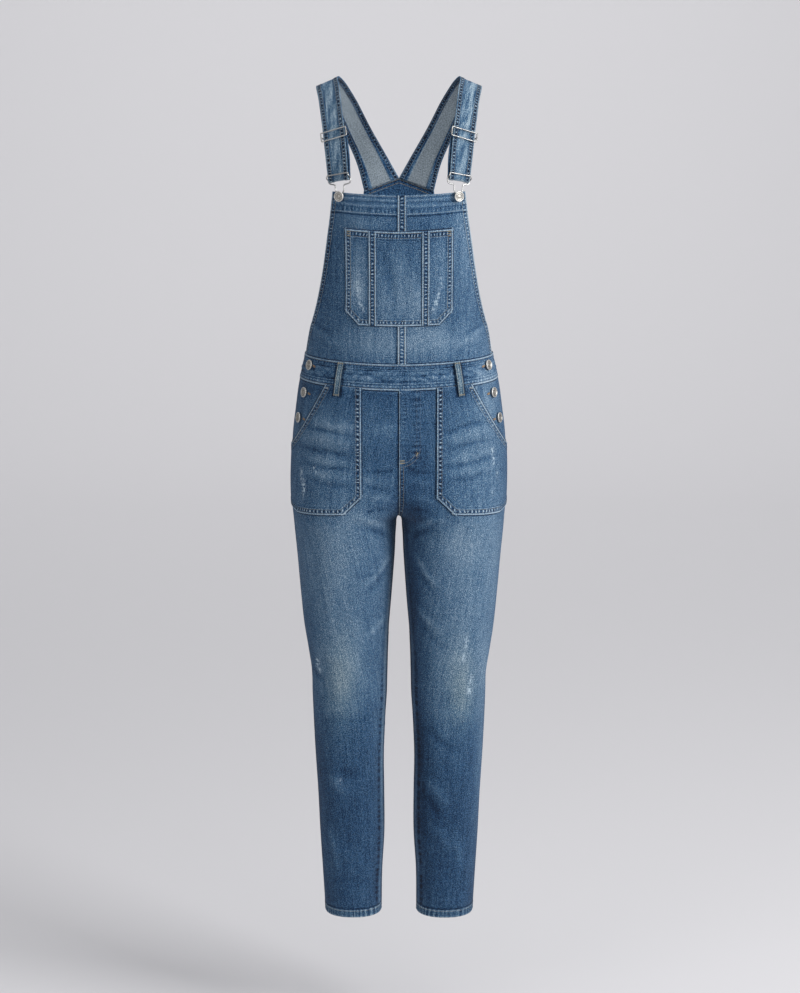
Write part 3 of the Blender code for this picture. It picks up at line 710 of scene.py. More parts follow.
class Weave(Finish):
    """A finish of cloth or thread, whose patterns follow the flat cloth."""

    def __init__(self, name):
        super().__init__(name)
        self.flat = self.node("UVMap")
        self.flat.uv_map = "flat"

    def pattern(self, kind, turn, stretch=(1, 1, 1), **inputs):
        turned = self.node("Mapping", Vector=self.flat.outputs["UV"], Rotation=(0, 0, turn), Scale=stretch)
        return self.node(kind, Vector=turned.outputs["Vector"], **inputs)

    def noise(self, across, along, detail=2.0, turn=0.0):
        """Noise whose cells are this many millimetres across and along the warp."""
        stretch = (1 / (across * MM), 1 / (along * MM), 1)
        node = self.pattern("TexNoise", turn, stretch, Scale=1.0, Detail=detail)
        node.noise_dimensions = "2D"
        return node.outputs["Fac"]

    def twill(self, pitch=0.62):
        """The fine diagonal ribs of the twill, whose pitch is in millimetres."""
        scale = 2 * pi / (20 * pitch * MM)
        node = self.pattern("TexWave", radians(62), Scale=scale, Distortion=2.2, Detail=1.0)
        return node.outputs["Fac"]

    def seam(self):
        """The change of the wash over a turned edge: its rim, its grooves, which are partly painted shade,
        its ladder of puckers, and the painted shadow just outside it.
        """
        low, high = SEAM[0][0], SEAM[-1][0]
        place = self.math("DIVIDE", self.math("SUBTRACT", self.field("inward"), low), high - low)
        marks = [(row[0] - low) / (high - low) for row in SEAM]
        # from SEAM: the rim, the grooves and the painted shadow outside the edge
        rim = self.ramp(place, [(mark, (0.5 + row[1],) * 3) for mark, row in zip(marks, SEAM)])
        share = self.ramp(place, [(mark, (row[2],) * 3) for mark, row in zip(marks, SEAM)])
        turns = self.times(self.field("along"), 2 * pi / LADDER)
        crest = self.math("SINE", self.math("ADD", turns, self.centred(self.noise(16, 16), 9.0)))
        bead = self.math("SUBTRACT", self.math("MAXIMUM", crest, 0.0), 0.3)
        ladder = self.times(bead, self.times(self.noise(6, 6), 1.7))
        calm = self.field("calm")
        rim_left = self.math("SUBTRACT", 1.0, self.math("POWER", self.math("MAXIMUM", calm, 0.0), 4.0))
        ladder_left = self.math("POWER", self.math("SUBTRACT", 1.0, calm), 2.0)
        edges = self.times(self.math("SUBTRACT", rim, 0.5), rim_left)
        return self.math("ADD", edges, self.times(self.times(ladder, share), ladder_left))

    def bump(self, height, distance, strength):
        """Relief whose distance is in millimetres."""
        bumped = self.node("Bump", Strength=strength, Distance=distance * MM, Height=height)
        self.fill(self.shader, Normal=bumped.outputs["Normal"])

    def matt(self, colour, roughness=0.9, sheen=0.05):
        """The colour and nap of the shader, as a finished material."""
        self.fill(self.shader, Base_Color=colour, Roughness=roughness, Specular_IOR_Level=0.12)
        self.fill(self.shader, Sheen_Weight=sheen, Sheen_Roughness=0.6)
        return self.material


INDIGO = (
    # place on the wash from raw to worn white, colour
    (0.0, (0.003, 0.01, 0.027)),
    (0.06, (0.005, 0.022, 0.063)),
    (0.2, (0.012, 0.052, 0.132)),
    (0.45, (0.049, 0.121, 0.218)),
    (0.7, (0.128, 0.208, 0.292)),
    (1.0, (0.34, 0.43, 0.515)),
)
MOTTLE = (
    # width and length of the cells, detail, amount
    (2.4, 52, 1, 0.5),
    (7.0, 90, 1, 0.28),
    (6.5, 9, 2, 0.36),
    (22, 34, 2, 0.26),
)
AGED, BARE = (1.0, 0.86, 0.6), (0.42, 0.53, 0.62)  # tint of yellowed cloth, colour of threads with no dye
REVERSE_PALE = ((0.1, (0.085, 0.115, 0.142)), (0.9, (0.41, 0.475, 0.525)))


def denim_face():
    weave = Weave("washed_denim")
    fine, grain, slub = weave.noise(1.15, 1.45, 1), weave.noise(2.7, 5.5, 1), weave.noise(1.0, 7, 1)
    twill, seam, wash, scuff = weave.twill(), weave.seam(), weave.field("wash"), weave.field("scuff")
    amounts = (fine, 1.65), (slub, 0.34), (grain, 0.22), (twill, 0.12)
    speckle = weave.total(*(weave.centred(value, amount) for value, amount in amounts))
    mottle = weave.total(*(weave.centred(weave.noise(*cells), amount) for *cells, amount in MOTTLE))
    depth, patchy = (weave.math("ADD", weave.times(wash, 0.3), least) for least in (0.94, 0.45))
    worn = weave.total(wash, seam, weave.times(speckle, depth), weave.times(mottle, patchy))
    aged = weave.times(weave.field("yellow"), 0.2, True)
    colour = weave.mix(aged, weave.ramp(worn, INDIGO), AGED, "MULTIPLY")
    threads = weave.total(weave.noise(1.3, 8, 1, 0.15), weave.noise(3, 4, 1), weave.times(scuff, 0.3), -1.12)
    bare = weave.times(weave.times(threads, 7.0, True), weave.times(scuff, 1.3, True))
    weave.bump(weave.total(weave.times(twill, 0.4), fine, grain, weave.times(seam, 1.8)), 0.5, 0.8)
    return weave.matt(weave.mix(bare, colour, BARE))


def denim_reverse():
    """The pale inner side, where turned edges show the dyed face; the back bib's inside is given the dyed
    face all over, partly as painted shade.
    """
    weave = Weave("denim_reverse")
    grain, fleck, twill = weave.noise(1.6, 2.1, 1), weave.noise(3.4, 3.4, 2), weave.twill(0.7)
    wash = weave.field("wash")
    faint = weave.times(wash, 0.12)
    speckle = weave.total(weave.centred(grain, 1.0), weave.centred(fleck, 0.25), faint, 0.36)
    seam = weave.times(weave.seam(), 0.8)
    worn = weave.total(wash, seam, weave.centred(grain, 1.1), weave.centred(fleck, 0.7), -0.17)
    weave.bump(weave.total(twill, grain), 0.25, 0.7)
    pale, dyed = weave.ramp(speckle, REVERSE_PALE), weave.ramp(worn, INDIGO)
    return weave.matt(weave.mix(weave.field("hem"), pale, dyed))


def thread(name, colour, dark):
    weave = Weave(name)
    return weave.matt(weave.ramp(weave.noise(3, 9, 2), ((0.3, dark), (0.65, colour))), 0.7, 0.2)


def metal(name, colour, roughness, dark):
    """Plated metal with faint brushing and handling marks."""
    plate = Finish(name)
    places = plate.node("TexCoord").outputs["Object"]
    marks = plate.node("TexNoise", Vector=places, Scale=900, Detail=3).outputs["Fac"]
    shade = plate.math("SUBTRACT", marks, plate.field("hollow"))
    rough = plate.node("MapRange", Value=marks, To_Min=roughness * 0.7, To_Max=roughness * 1.3)
    tint = plate.ramp(shade, ((0.3, dark), (0.62, colour)))
    plate.fill(plate.shader, Base_Color=tint, Roughness=rough.outputs["Result"], Metallic=1.0)
    return plate.material


DENIM, REVERSE = denim_face(), denim_reverse()
PALE_THREAD = thread("pale_thread", (0.27, 0.3, 0.31), (0.13, 0.16, 0.19))
TAN_THREAD = thread("tan_thread", (0.26, 0.23, 0.155), (0.13, 0.115, 0.085))
RUST_THREAD = thread("rust_thread", (0.25, 0.165, 0.09), (0.14, 0.09, 0.05))
INDIGO_THREAD = thread("indigo_thread", (0.09, 0.14, 0.2), (0.03, 0.05, 0.09))
STEEL = metal("polished_wire", (0.5, 0.5, 0.49), 0.3, (0.22, 0.22, 0.22))
SILVER = metal("button_silver", (0.74, 0.73, 0.7), 0.46, (0.24, 0.23, 0.21))


# ---- meshes
OWN_CLOTH = 137.0  # how far each shell's flat layout lies from the last one's, so that no two match


def dressed(piece, node=None):
    """Links a piece, which rides on the one body and stands for its node, if it has one."""
    bpy.context.scene.collection.objects.link(piece)
    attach(piece, "root")
    if node:
        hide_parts(node)
    return piece


def new_mesh(name, points, faces):
    """A mesh in metres, from points in millimetres."""
    mesh = bpy.data.meshes.new(name)
    faces = faces.tolist() if isinstance(faces, np.ndarray) else faces
    mesh.from_pydata((np.asarray(points).reshape(-1, 3) * MM).tolist(), [], faces)
    mesh.update()
    mesh.shade_smooth()
    return mesh


def set_field(mesh, name, values):
    layer = mesh.attributes.new(name, "FLOAT", "POINT")
    layer.data.foreach_set("value", np.asarray(values, np.float32).ravel())


def lay_flat(mesh, flat):
    """Gives a mesh its points' places on the flat cloth as its UV map."""
    layer = mesh.uv_layers.new(name="flat")
    corners = np.empty(len(mesh.loops), np.int32)
    mesh.loops.foreach_get("vertex_index", corners)
    layer.data.foreach_set("uv", (flat[corners] * MM).astype(np.float32).ravel())


def grid_faces(rows, columns, closed=False):
    start, column = np.arange(rows - 1)[:, None] * columns, np.arange(columns if closed else columns - 1)
    first, beside = start + column, start + (column + 1) % columns
    return np.stack((first, beside, beside + columns, first + columns), -1).reshape(-1, 4)


def shell(node, points, faces, flat, fields, thickness, outward):
    """A cloth shell that stands for a node, with its flat layout as its UV map and its wear and painted
    shading as attributes.
    """
    mesh = new_mesh(f"denim_{node}", points, faces)
    normals = np.empty(len(mesh.vertices) * 3, np.float32)
    mesh.vertices.foreach_get("normal", normals)
    if (normals.reshape(-1, 3) * np.asarray(outward).reshape(-1, 3)).sum() < 0:
        mesh.flip_normals()
    lay_flat(mesh, np.asarray(flat).reshape(-1, 2) + OWN_CLOTH * len(bpy.data.meshes))
    for key, values in fields.items():
        set_field(mesh, key, values)
    for material in (DENIM, REVERSE):
        mesh.materials.append(material)
    piece = bpy.data.objects.new(mesh.name, mesh)
    wall = piece.modifiers.new("wall", "SOLIDIFY")
    wall.thickness, wall.offset, wall.material_offset = thickness * MM, -1, 1
    dressed(piece, node)
    return piece


def cloth_shell(node, cloth, across, thickness=SHELL, faces=None):
    """The shell of a cloth whose points lie in rows, or in the faces given."""
    fields = {key: getattr(cloth, key) for key in Cloth.FIELDS}
    faces = grid_faces(*across.shape) if faces is None else faces
    flat = np.stack((across, cloth.height), -1)
    shell(node, cloth.final(), faces, flat, fields, thickness, cloth.normal)


# ---- sewing
stitches = {}


def stitch_shape(sides=5):
    """One stitch of unit length and radius, as points and triangles."""
    ring = [(cos(2 * pi * k / sides), sin(2 * pi * k / sides)) for k in range(sides)]
    points = [(-0.5, 0, 0)] + [(u, 0.94 * a, b) for u in (-0.32, 0.32) for a, b in ring] + [(0.5, 0, 0)]
    faces = []
    for k in range(sides):
        a, b = 1 + k, 1 + (k + 1) % sides
        faces += [(0, b, a), (a, b, b + sides), (a, b + sides, a + sides)]
        faces.append((2 * sides + 1, a + sides, b + sides))
    return np.array(points), np.array(faces)


def sew(group, material, places, normals, pitch=3.3, length=2.6, radius=0.32):
    """Stitches along a line of points, lying on the cloth."""
    run = run_along(places)
    if run[-1] < pitch:
        return
    at = np.arange(pitch / 2, run[-1] - pitch / 4, pitch)

    def sample(values, where):
        return np.stack([np.interp(where, run, values[:, k]) for k in range(3)], -1)

    centre, normal = sample(places, at), sample(normals, at)
    ahead = unit(sample(places, at + 0.8) - sample(places, at - 0.8))
    normal = unit(normal - ahead * (normal * ahead).sum(axis=1, keepdims=True))
    points, faces = stitch_shape()
    u, v, w = points.T
    uneven = 1 + 0.12 * np.sin(at * 5.1)
    made = (centre + normal * radius * 0.35)[:, None]
    made = made + ahead[:, None] * (u * length)[None, :, None] * uneven[:, None, None]
    made = made + np.cross(ahead, normal)[:, None] * (v * radius)[None, :, None]
    made = made + normal[:, None] * (w * radius)[None, :, None]
    kept = stitches.setdefault((group, material.name), [material, [], [], 0])
    kept[1].append(made.reshape(-1, 3))
    offsets = np.arange(len(at))[:, None, None] * len(points) + kept[3]
    kept[2].append((faces[None] + offsets).reshape(-1, 3))
    kept[3] += len(at) * len(points)


def sew_on(cloth_of, group, material, away, height, side=1, keep=None, **how):
    """Stitches along a line given on the flat cloth, at the height of its relief."""
    away, height = np.broadcast_arrays(np.asarray(away, float), np.asarray(height, float))
    cloth = cloth_of(away, height, side)
    places, normals = cloth.final(), cloth.normal
    if keep is None:
        keep = np.ones(len(places), bool)
    starts = np.flatnonzero(np.diff(np.concatenate(([0], keep.astype(int), [0]))))
    for start, end in zip(starts[::2], starts[1::2]):
        if end - start > 2:
            sew(group, material, places[start:end], normals[start:end], **how)


def bartack(cloth_of, group, material, start, end, side, rows=3):
    """A short close zigzag, as rows of overlapping stitches."""
    (x0, z0), (x1, z1) = start, end
    across = np.array([-(z1 - z0), x1 - x0]) / np.hypot(x1 - x0, z1 - z0) * 0.55
    for row in range(rows):
        shift = across * (row - (rows - 1) / 2)
        x, z = np.linspace(x0, x1, 9) + shift[0], np.linspace(z0, z1, 9) + shift[1]
        away = front_form.away_of(np.maximum(x, 0.2), z)
        sew_on(cloth_of, group, material, away, z, side, pitch=1.3, length=2.0, radius=0.42)


def gather_stitches():
    """Joins the stitches of each group and thread in one piece."""
    for (group, _), (material, points, faces, _) in stitches.items():
        points = np.concatenate(points)
        mesh = new_mesh(f"stitches_{group}_{material.name}", points, np.concatenate(faces))
        lay_flat(mesh, points[:, [0, 2]])
        mesh.materials.append(material)
        dressed(bpy.data.objects.new(mesh.name, mesh))


# ---- trousers
SEAM_ROWS = (2.6, 8.2)  # distances of the stitch rows from a felled or turned edge
HEM_ROW, HEM_WIDTH, HEM_LADDER = 11.0, 13.0, 7.5  # its stitch row, its width, the spacing of its puckers
TURN_X, OUTER_COLUMNS, INNER_COLUMNS = 48.0, 40, 22  # where the columns part, and how many lie either side
FLY_HALF, FLY_FOOT, FLY_TURN = 34.0, -618.0, -587.0  # width of the fly, its foot, where its J bends
FELL_ROWS, MIDDLE_ROWS = (1.8, 8.0), (1.8, 7.4)  # stitch rows of the inner leg and middle seams
FLY_TACKS = (
    # start and end of each bar tack
    ((1.5, -607), (9.5, -607)),
    ((1.5, -611), (9.5, -611)),
    ((27.5, -600), (30.5, -594)),
)


def hem_wear(cloth, seed):
    up, around = cloth.height - HEM, cloth.away + 40 * seed
    cloth.edge(up, around, HEM_WIDTH, (HEM_ROW,), seed, layer=0.45, period=HEM_LADDER, pucker=0.45, calm=1.0)
    turned = ramp(HEM_WIDTH + 1, up - 1, up + 1)
    cloth.wash += (0.1 + 0.34 * rungs(around, HEM_LADDER, seed)) * turned
    cloth.wash += 0.36 * hill(up, 0.8, 1.3) + 0.36 * hill(up, HEM_WIDTH - 1, 1.2)
    cloth.wash -= 0.34 * hill(up, HEM_WIDTH + 1.8, 1.3)
    cloth.yellow += 0.9 * turned


def leg_seam_wear(cloth, below, seed):
    """The felled inner leg seam of a front, and the gaps of its ladder."""
    height, seen = cloth.height, np.abs(cloth.x) - smooth(BODY, INNER, cloth.height)
    gaps = ramp(rungs(height, 10.5, seed + 6), 0.0, 0.6) * ramp(-height, 900, 1040)
    fell = below * ramp(height, HEM + 14, HEM + 18)
    cloth.wash += (0.2 * hill(seen, 3.0, 2.2) - (0.1 + 0.5 * gaps) * hill(seen, 7.0, 1.9)) * fell
    cloth.relief += (0.5 * ramp(7.5, seen - 1.5, seen + 1) - 0.4 * gaps * hill(seen, 6.7, 1.4)) * fell


def fly_wear(cloth, inner):
    """The lap of the mock fly, with the puckers of its stitches."""
    height = cloth.height
    fly, rung = ramp(height, FLY_FOOT - 2, FLY_FOOT + 2), rungs(height, 9.0, 5)
    cloth.relief += 0.9 * fly * ramp(30, inner - 12, inner + 12)
    cloth.relief += fly * 0.4 * rung * hill(inner, FLY_HALF - 8, 8)
    cloth.wash += fly * (0.26 * rung - 0.05) * hill(inner, FLY_HALF - 6, 7)
    cloth.wash += fly * 0.24 * rungs(height, 6.5, 8) * hill(inner, 8, 4)


def trouser_cloth(form, away, height, side):
    """The wear and painted shading of a trouser panel: hem, side seam, inner leg seam, middle seam and the
    fly.
    """
    cloth = Cloth(form, away, height, side, 0)
    inner, below = form.span(height) - away, ramp(-height, 712, 730)
    seed = 1.0 + (side > 0) + 2 * form.back
    hem_wear(cloth, seed)
    if not form.back:
        leg_seam_wear(cloth, below, seed)
    cloth.wash += 0.16 * hill(away, 1.2, 1.3) * (0.7 + 0.3 * rungs(height, 9.0, seed))
    cloth.wash -= 0.12 * hill(away, 4.6, 1.8)
    cloth.relief += 0.35 * hill(away, 2.0, 1.6) * ramp(away, 0, 1)
    # at the top of the inner thighs, where the legs meet: painted shade on the +X leg and on the backs, and a
    # painted highlight on the -X leg, whose inner side faces the key light
    inseam_shading = 0.3 if side > 0 or form.back else -0.12
    cloth.wash -= inseam_shading * below * ramp(height, -900, -800) * np.exp(-inner / 5)
    opened = inner + ramp(height, -930, -860) * (height < CROTCH - 4) * 60
    if side > 0:
        lapped = 3 * ramp(height, FLY_FOOT - 4, FLY_FOOT + 2) * ramp(inner, 1.5, 4) * (not form.back)
        seam_in, calm = opened + inner * lapped, 0.3
    else:
        seam_in, calm = opened + 60 * (1 - below), 0.0
        # painted shadow along the middle seam of the -X half, beside the edge of the +X half, which laps over
        # it on the front
        cloth.wash -= 0.4 * (1 - below) * hill(inner, 0.0, 2.4)
    cloth.edge(seam_in, height, 9, SEAM_ROWS, seed + 4, layer=0.45, fold=True, calm=calm)
    if side > 0 and not form.back:
        fly_wear(cloth, inner)
    return cloth


def panel_grid(form):
    """Flat places over a trouser panel, closer together beside its seams and where it turns under."""
    heights = steps(
        (WAIST_BOTTOM + 2, -705, 2.2), (-705, -722, 1.0), (-722, -1060, 3.4),
        (-1060, HEM + 22, 4.0), (HEM + 22, HEM, 1.5),
    )
    rows = []
    for height in heights:
        seam = float(form.span(height)) - 13
        turn = float(form.away_of(TURN_X, height))
        outer = steps((0, 5, 1.25), (5, turn, (turn - 5) / OUTER_COLUMNS))
        inner = steps((turn, seam, (seam - turn) / INNER_COLUMNS), (seam, seam + 13, 1.2))
        rows.append(np.concatenate((outer[:-1], inner)))
    away = np.array(rows)
    return away, heights[:, None] + 0 * away


def trousers():
    length = WAIST_BOTTOM - HEM
    for form, word in FORMS:
        away, height = panel_grid(form)
        levels = form.heights[(form.heights <= WAIST_BOTTOM) & (form.heights >= HEM)]
        cut, area = (float(form.reach.max()), length), float(form.span(levels).mean() * length)
        for hand, side in SIDES:
            group = f"{word}_{hand}"
            cloth_shell(group, trouser_cloth(form, away, height, side), away * side)
            sew_trousers(form, group, side)


def sew_trousers(form, group, side):
    cloth_of = partial(trouser_cloth, form)
    down = np.arange(CROTCH - 14, HEM + 1, -2.0)
    for inward in FELL_ROWS:
        sew_on(cloth_of, group, INDIGO_THREAD, form.span(down) - inward, down, side)
    if form.back:
        sew_on(cloth_of, group, PALE_THREAD, FELL_ROWS[0], down, side)
    around = np.arange(0, float(form.span(HEM + HEM_ROW)), 2.0)
    sew_on(cloth_of, group, TAN_THREAD, around, HEM + HEM_ROW, side)
    if side < 0:
        return
    rise = np.arange(WAIST_BOTTOM if form.back else FLY_FOOT - 1, CROTCH + 7, -1.0)
    for inward in MIDDLE_ROWS:
        sew_on(cloth_of, group, TAN_THREAD, form.span(rise) - inward, rise, side)
    if not form.back:
        sew_fly(cloth_of, group)


def sew_fly(cloth_of, group):
    """The J of the mock fly, and its bar tacks."""
    straight, bend = np.arange(WAIST_BOTTOM, FLY_TURN, -2.0), np.linspace(0, pi / 2, 24)
    for back_off in (0, 5.5):
        across, drop = FLY_HALF - back_off, FLY_FOOT + back_off - FLY_TURN
        x, z = np.maximum(across * np.cos(bend), 1.0), FLY_TURN + drop * np.sin(bend)
        sew_on(cloth_of, group, TAN_THREAD, front_form.away_of(x, z), z, 1)
        sew_on(cloth_of, group, INDIGO_THREAD, front_form.away_of(across, straight), straight, 1)
    for start, end in FLY_TACKS:
        bartack(cloth_of, group, TAN_THREAD, start, end, 1)


# ---- patches
HIP_POCKET_LINES = (
    # number of the edge, start and end of its stitch rows
    (0, (60.5, WAIST_BOTTOM), (60.5, -669.0)),
    (1, (60.5, -669.0), (89, -697.5)),
    (2, (89, -697.5), (163, -703.4)),
    (4, (117, WAIST_BOTTOM), (172, -596)),
)
HIP_POCKET_TACK = (112.5, -495), (118.5, -496)
MOUTH_EDGE = 4


def inward_of(cloth, side, edges):
    """Distances along the cloth from each straight edge, which is given in front view."""
    found = []
    for (x, z), (across, up) in edges:
        direction = unit(np.array([across, 0, up], float))
        beyond = (np.abs(cloth.x) - x) * direction[0] + (cloth.height - z) * direction[2]
        facing = np.abs(cloth.normal * (side, 1, 1) @ direction)
        found.append(-beyond / np.sqrt(np.maximum(1 - facing**2, 0.02)))
    return found


def trimmed_grid(away, height, edges):
    """A grid of flat places over the front, cut along straight edges in front view."""
    spots = np.stack((*front_form.place(away, height), height), -1).reshape(-1, 3)
    mesh = bmesh.new()
    flat = mesh.verts.layers.float.new("away")
    verts = [mesh.verts.new(spot) for spot in spots.tolist()]
    for vert, value in zip(verts, away.ravel()):
        vert[flat] = value
    for face in grid_faces(*away.shape):
        mesh.faces.new([verts[k] for k in face])
    for (x, z), (across, up) in edges:
        parts = mesh.verts[:] + mesh.edges[:] + mesh.faces[:]
        out = Vector((across, 0, up)).normalized()
        rim = Vector((x, 0, z)) + out * SKIRT
        bmesh.ops.bisect_plane(mesh, geom=parts, dist=0.05, plane_co=rim, plane_no=out, clear_outer=True)
    mesh.verts.index_update()
    kept = np.array([vert[flat] for vert in mesh.verts])
    levels = np.array([vert.co.z for vert in mesh.verts])
    faces = [[vert.index for vert in face.verts] for face in mesh.faces]
    mesh.free()
    return kept, levels, faces


def sew_edge(cloth_of, edges, edge, start, end, row, group, material, side):
    """A stitch row at a distance from one edge of a patch, as far as its other edges' rows."""
    count = max(8, round(np.hypot(end[0] - start[0], end[1] - start[1]) / 1.5))
    x, z = np.linspace(start[0], end[0], count), np.linspace(start[1], end[1], count)
    away = front_form.away_of(x, z)
    across, up = edges[edge][1]
    step = 0.5
    ahead, behind = front_form.place(away + step, z)[0], front_form.place(np.maximum(away - step, 0), z)[0]
    out = unit(np.stack((across * (ahead - behind) / (2 * step), np.full(count, float(up))), -1))
    away, z = away - out[:, 0] * row, z - out[:, 1] * row
    others = [values for k, values in enumerate(cloth_of(away, z, side).reach) if k != edge]
    keep = np.min(others, axis=0) > row - 0.4
    sew_on(cloth_of, group, material, away, z, side, keep & (away > 1))


def hip_pocket_cloth(away, height, side):
    cloth = Cloth(front_form, away, height, side, PATCH_LIFT)
    cloth.reach = inner, chamfer, foot, heel, mouth = inward_of(cloth, side, HIP_POCKET_EDGES)
    for inward, along, seed, how in (
        (inner, height, 2, {"period": 7.2, "calm": -0.12}),
        (chamfer, away, 3, {"period": 6.6}),
        (np.minimum(foot, heel), away, 4, {"period": 6.8, "calm": -0.15}),
        (mouth, height, 5, {"pucker": 0.25, "calm": 0.25}),
    ):
        cloth.edge(inward, along, 10, SEAM_ROWS, seed + side, **how)
    cloth.relief -= 0.5 * hill(away, 0, 1.5)
    return cloth


def hip_pockets():
    heights = steps((WAIST_BOTTOM + 2, -708, 1.7))
    outer = float(front_form.away_of(59.0, -600.0)) + 6
    away, height = np.meshgrid(steps((0, 12, 1.3), (12, outer - 14, 2.0), (outer - 14, outer, 1.2)), heights)
    for hand, side in SIDES:
        kept, at, faces = trimmed_grid(away, height, HIP_POCKET_EDGES)
        group, cloth = f"hip_pocket_{hand}", hip_pocket_cloth(kept, at, side)
        cloth_shell(group, cloth, kept * side, faces=faces)
        for line in HIP_POCKET_LINES:
            for row in SEAM_ROWS:
                material = TAN_THREAD if line[0] == MOUTH_EDGE or row > SEAM_ROWS[0] else PALE_THREAD
                sew_edge(hip_pocket_cloth, HIP_POCKET_EDGES, *line, row, group, material, side)
        bartack(hip_pocket_cloth, group, PALE_THREAD, *HIP_POCKET_TACK, side)


# ---- waistband and loops
BAND_PLIES, LOOP_PLIES = 2.2, 1.3  # thickness of the waistband and of a belt loop
BAND_COLUMNS, BAND_ROW = 230, 2.4  # columns of its grid, distance of its stitch rows from its edges
LOOP_LENGTH, LOOP_ROW = 58, 3.7  # run of a belt loop, distance of its stitch rows from its middle
BAND_CREASES = (
    # height, change of the tone: paler on a ridge, darker in a crease
    (-457.5, 0.12),
    (-460.5, -0.4),
    (-465.0, 0.12),
    (-469.0, -0.36),
    (-474.5, 0.15),
    (-478.0, -0.36),
    (-481.5, 0.12),
)


def band_cloth(form, away, height, side):
    cloth = Cloth(form, away, height, side, BAND_LIFT)
    along, seed = away * side, 6.0 + form.back
    down, up = WAIST_TOP - height, height - WAIST_BOTTOM
    cloth.edge(down, along, 9.5, (2.5,), seed, layer=0, period=6.5, calm=0.5)
    cloth.edge(up, along, 10.5, (2.7,), seed + 1, layer=0, period=7.5, calm=0.45)
    cloth.wash += 0.22 * hill(up, 5.4, 1.2) - 0.12 * hill(down, 4.2, 1.2)
    body = hill(height, (WAIST_TOP + WAIST_BOTTOM) / 2, 11)
    slant, cross = rungs(along - 0.9 * down, 17, seed), rungs(along + 1.6 * down, 23, seed + 2)
    bent = height / 3.2 + 2.2 * np.sin(along / 19 + seed) + 0.9 * np.sin(along / 7.7)
    ripple = np.sin(bent) * (0.45 + 0.55 * np.sin(along / 9.1 + 2.4 * np.sin(height / 6 + along / 27)))
    cloth.relief += (0.5 * slant + 0.35 * cross + 0.5 * ripple) * body
    cloth.wash += (0.1 * slant + 0.08 * cross + 0.13 * ripple) * body
    for level, amount in BAND_CREASES:
        off = height - level - 1.8 * wobble(along * 0.9, level)
        length = ramp(wobble(along * 0.7, level + 2), -0.25, 0.35)
        cloth.relief += 1.4 * amount * hill(off, 0, 1.3) * length
        cloth.wash += amount * hill(off, 0, 1.1) * length
    return cloth


def middle_grid(form, heights, across):
    """A grid given by signed distances from the middle, as distances from the side seam and a side."""
    height = heights[:, None] + 0 * across
    return form.span(height) - np.abs(across), height, np.where(across < 0, -1.0, 1.0)


def waistbands():
    top, bottom = WAIST_TOP + SKIRT, WAIST_BOTTOM - SKIRT
    heights = steps((top, top - 10, 1.1), (top - 10, bottom + 10, 2.0), (bottom + 10, bottom, 1.1))
    for form, word in FORMS:
        cloth_of, node = partial(band_cloth, form), f"waistband_{word}"
        across = form.span(heights)[:, None] * np.linspace(-1, 1, BAND_COLUMNS)
        width, length = 2 * float(form.span(WAIST_BOTTOM)), WAIST_TOP - WAIST_BOTTOM
        cloth = cloth_of(*middle_grid(form, heights, across))
        cloth_shell(node, cloth, across, BAND_PLIES)
        for _, side in SIDES:
            for level in (WAIST_TOP - BAND_ROW, WAIST_BOTTOM + BAND_ROW):
                along = np.arange(1.0, float(form.span(level)), 2.0)
                sew_on(cloth_of, node, PALE_THREAD, along, level, side)


def loop_lift(share, back):
    """Height of a belt loop's face over the panel."""
    head = BAND_LIFT + 0.3 + SHELL + 0.3
    foot = 0.3 + SHELL + (0.3 if back else PATCH_LIFT + 0.3)
    return head + share * (foot - head) + LOOP_BOW * np.sin(pi * share)


def loop_cloth(form, away, height, side):
    cloth, share = Cloth(form, away, height, side, 0), loop_share(height)
    inward = LOOP_WIDTH / 2 - np.abs(away - form.away_of(loop_x(share), height))
    cloth.relief = loop_lift(np.clip(share, 0, 1), form.back) - 0.6 * hill(inward, 0, 0.9)
    cloth.relief += 0.3 * hill(inward, 2.0, 0.9) - 0.3 * hill(inward, 3.4, 0.7)
    # dark along both edges of the loop: painted shade where it stands off the cloth; the pale, yellowed face
    # is wear
    cloth.wash += 0.3 - 1.0 * hill(inward, 0, 1.2) + 0.36 * hill(inward, 2.1, 0.8)
    cloth.wash += 0.14 * hill(inward, 6, 1.6) * rungs(height, 7.0, side) - 0.34 * hill(inward, 3.6, 0.9)
    cloth.yellow += 2.0
    return cloth


def belt_loops():
    share, across = np.linspace(0, 1, 40), np.linspace(-LOOP_WIDTH / 2, LOOP_WIDTH / 2, 13)
    heights = LOOP_TOP + share * (LOOP_BOTTOM - LOOP_TOP)
    for form, word in FORMS:
        cloth_of, middle = partial(loop_cloth, form), form.away_of(loop_x(share), heights)
        away = middle[:, None] + across
        for hand, side in SIDES:
            node, cloth = f"belt_loop_{word}_{hand}", cloth_of(away, heights[:, None] + 0 * away, side)
            cloth_shell(node, cloth, away * side, LOOP_PLIES)
            for off in (-LOOP_ROW, LOOP_ROW):
                sew_on(cloth_of, node, TAN_THREAD, middle + off, heights, side)
            for x, level in ((LOOP_X_TOP, LOOP_TOP - 2.2), (LOOP_X_BOTTOM, LOOP_BOTTOM + 2.2)):
                centre = float(form.away_of(x, level))
                row = np.linspace(centre - 5, centre + 5, 9)
                for down in (-0.6, 0.6):
                    at = level + down
                    sew_on(cloth_of, node, TAN_THREAD, row, at, side, pitch=1.4, length=2.0, radius=0.4)


# ---- bibs
BAND_FOLD = 31.0  # depth of the turned band along the bib's top
TOP_ROW, FOLD_ROW = 2.2, 1.5  # stitch rows of the band: from the bib's top, and from the band's foot
STRIP_PLIES, STRIP_ROW = 0.8, 2.3  # thickness of a felled strip, distance of its stitch rows
BAND_WAVES = (
    # distance from the bib's top, height of the wave
    (4, -0.8),
    (8, 1),
    (12.5, -0.9),
    (17.5, 1),
    (21.5, -0.6),
)


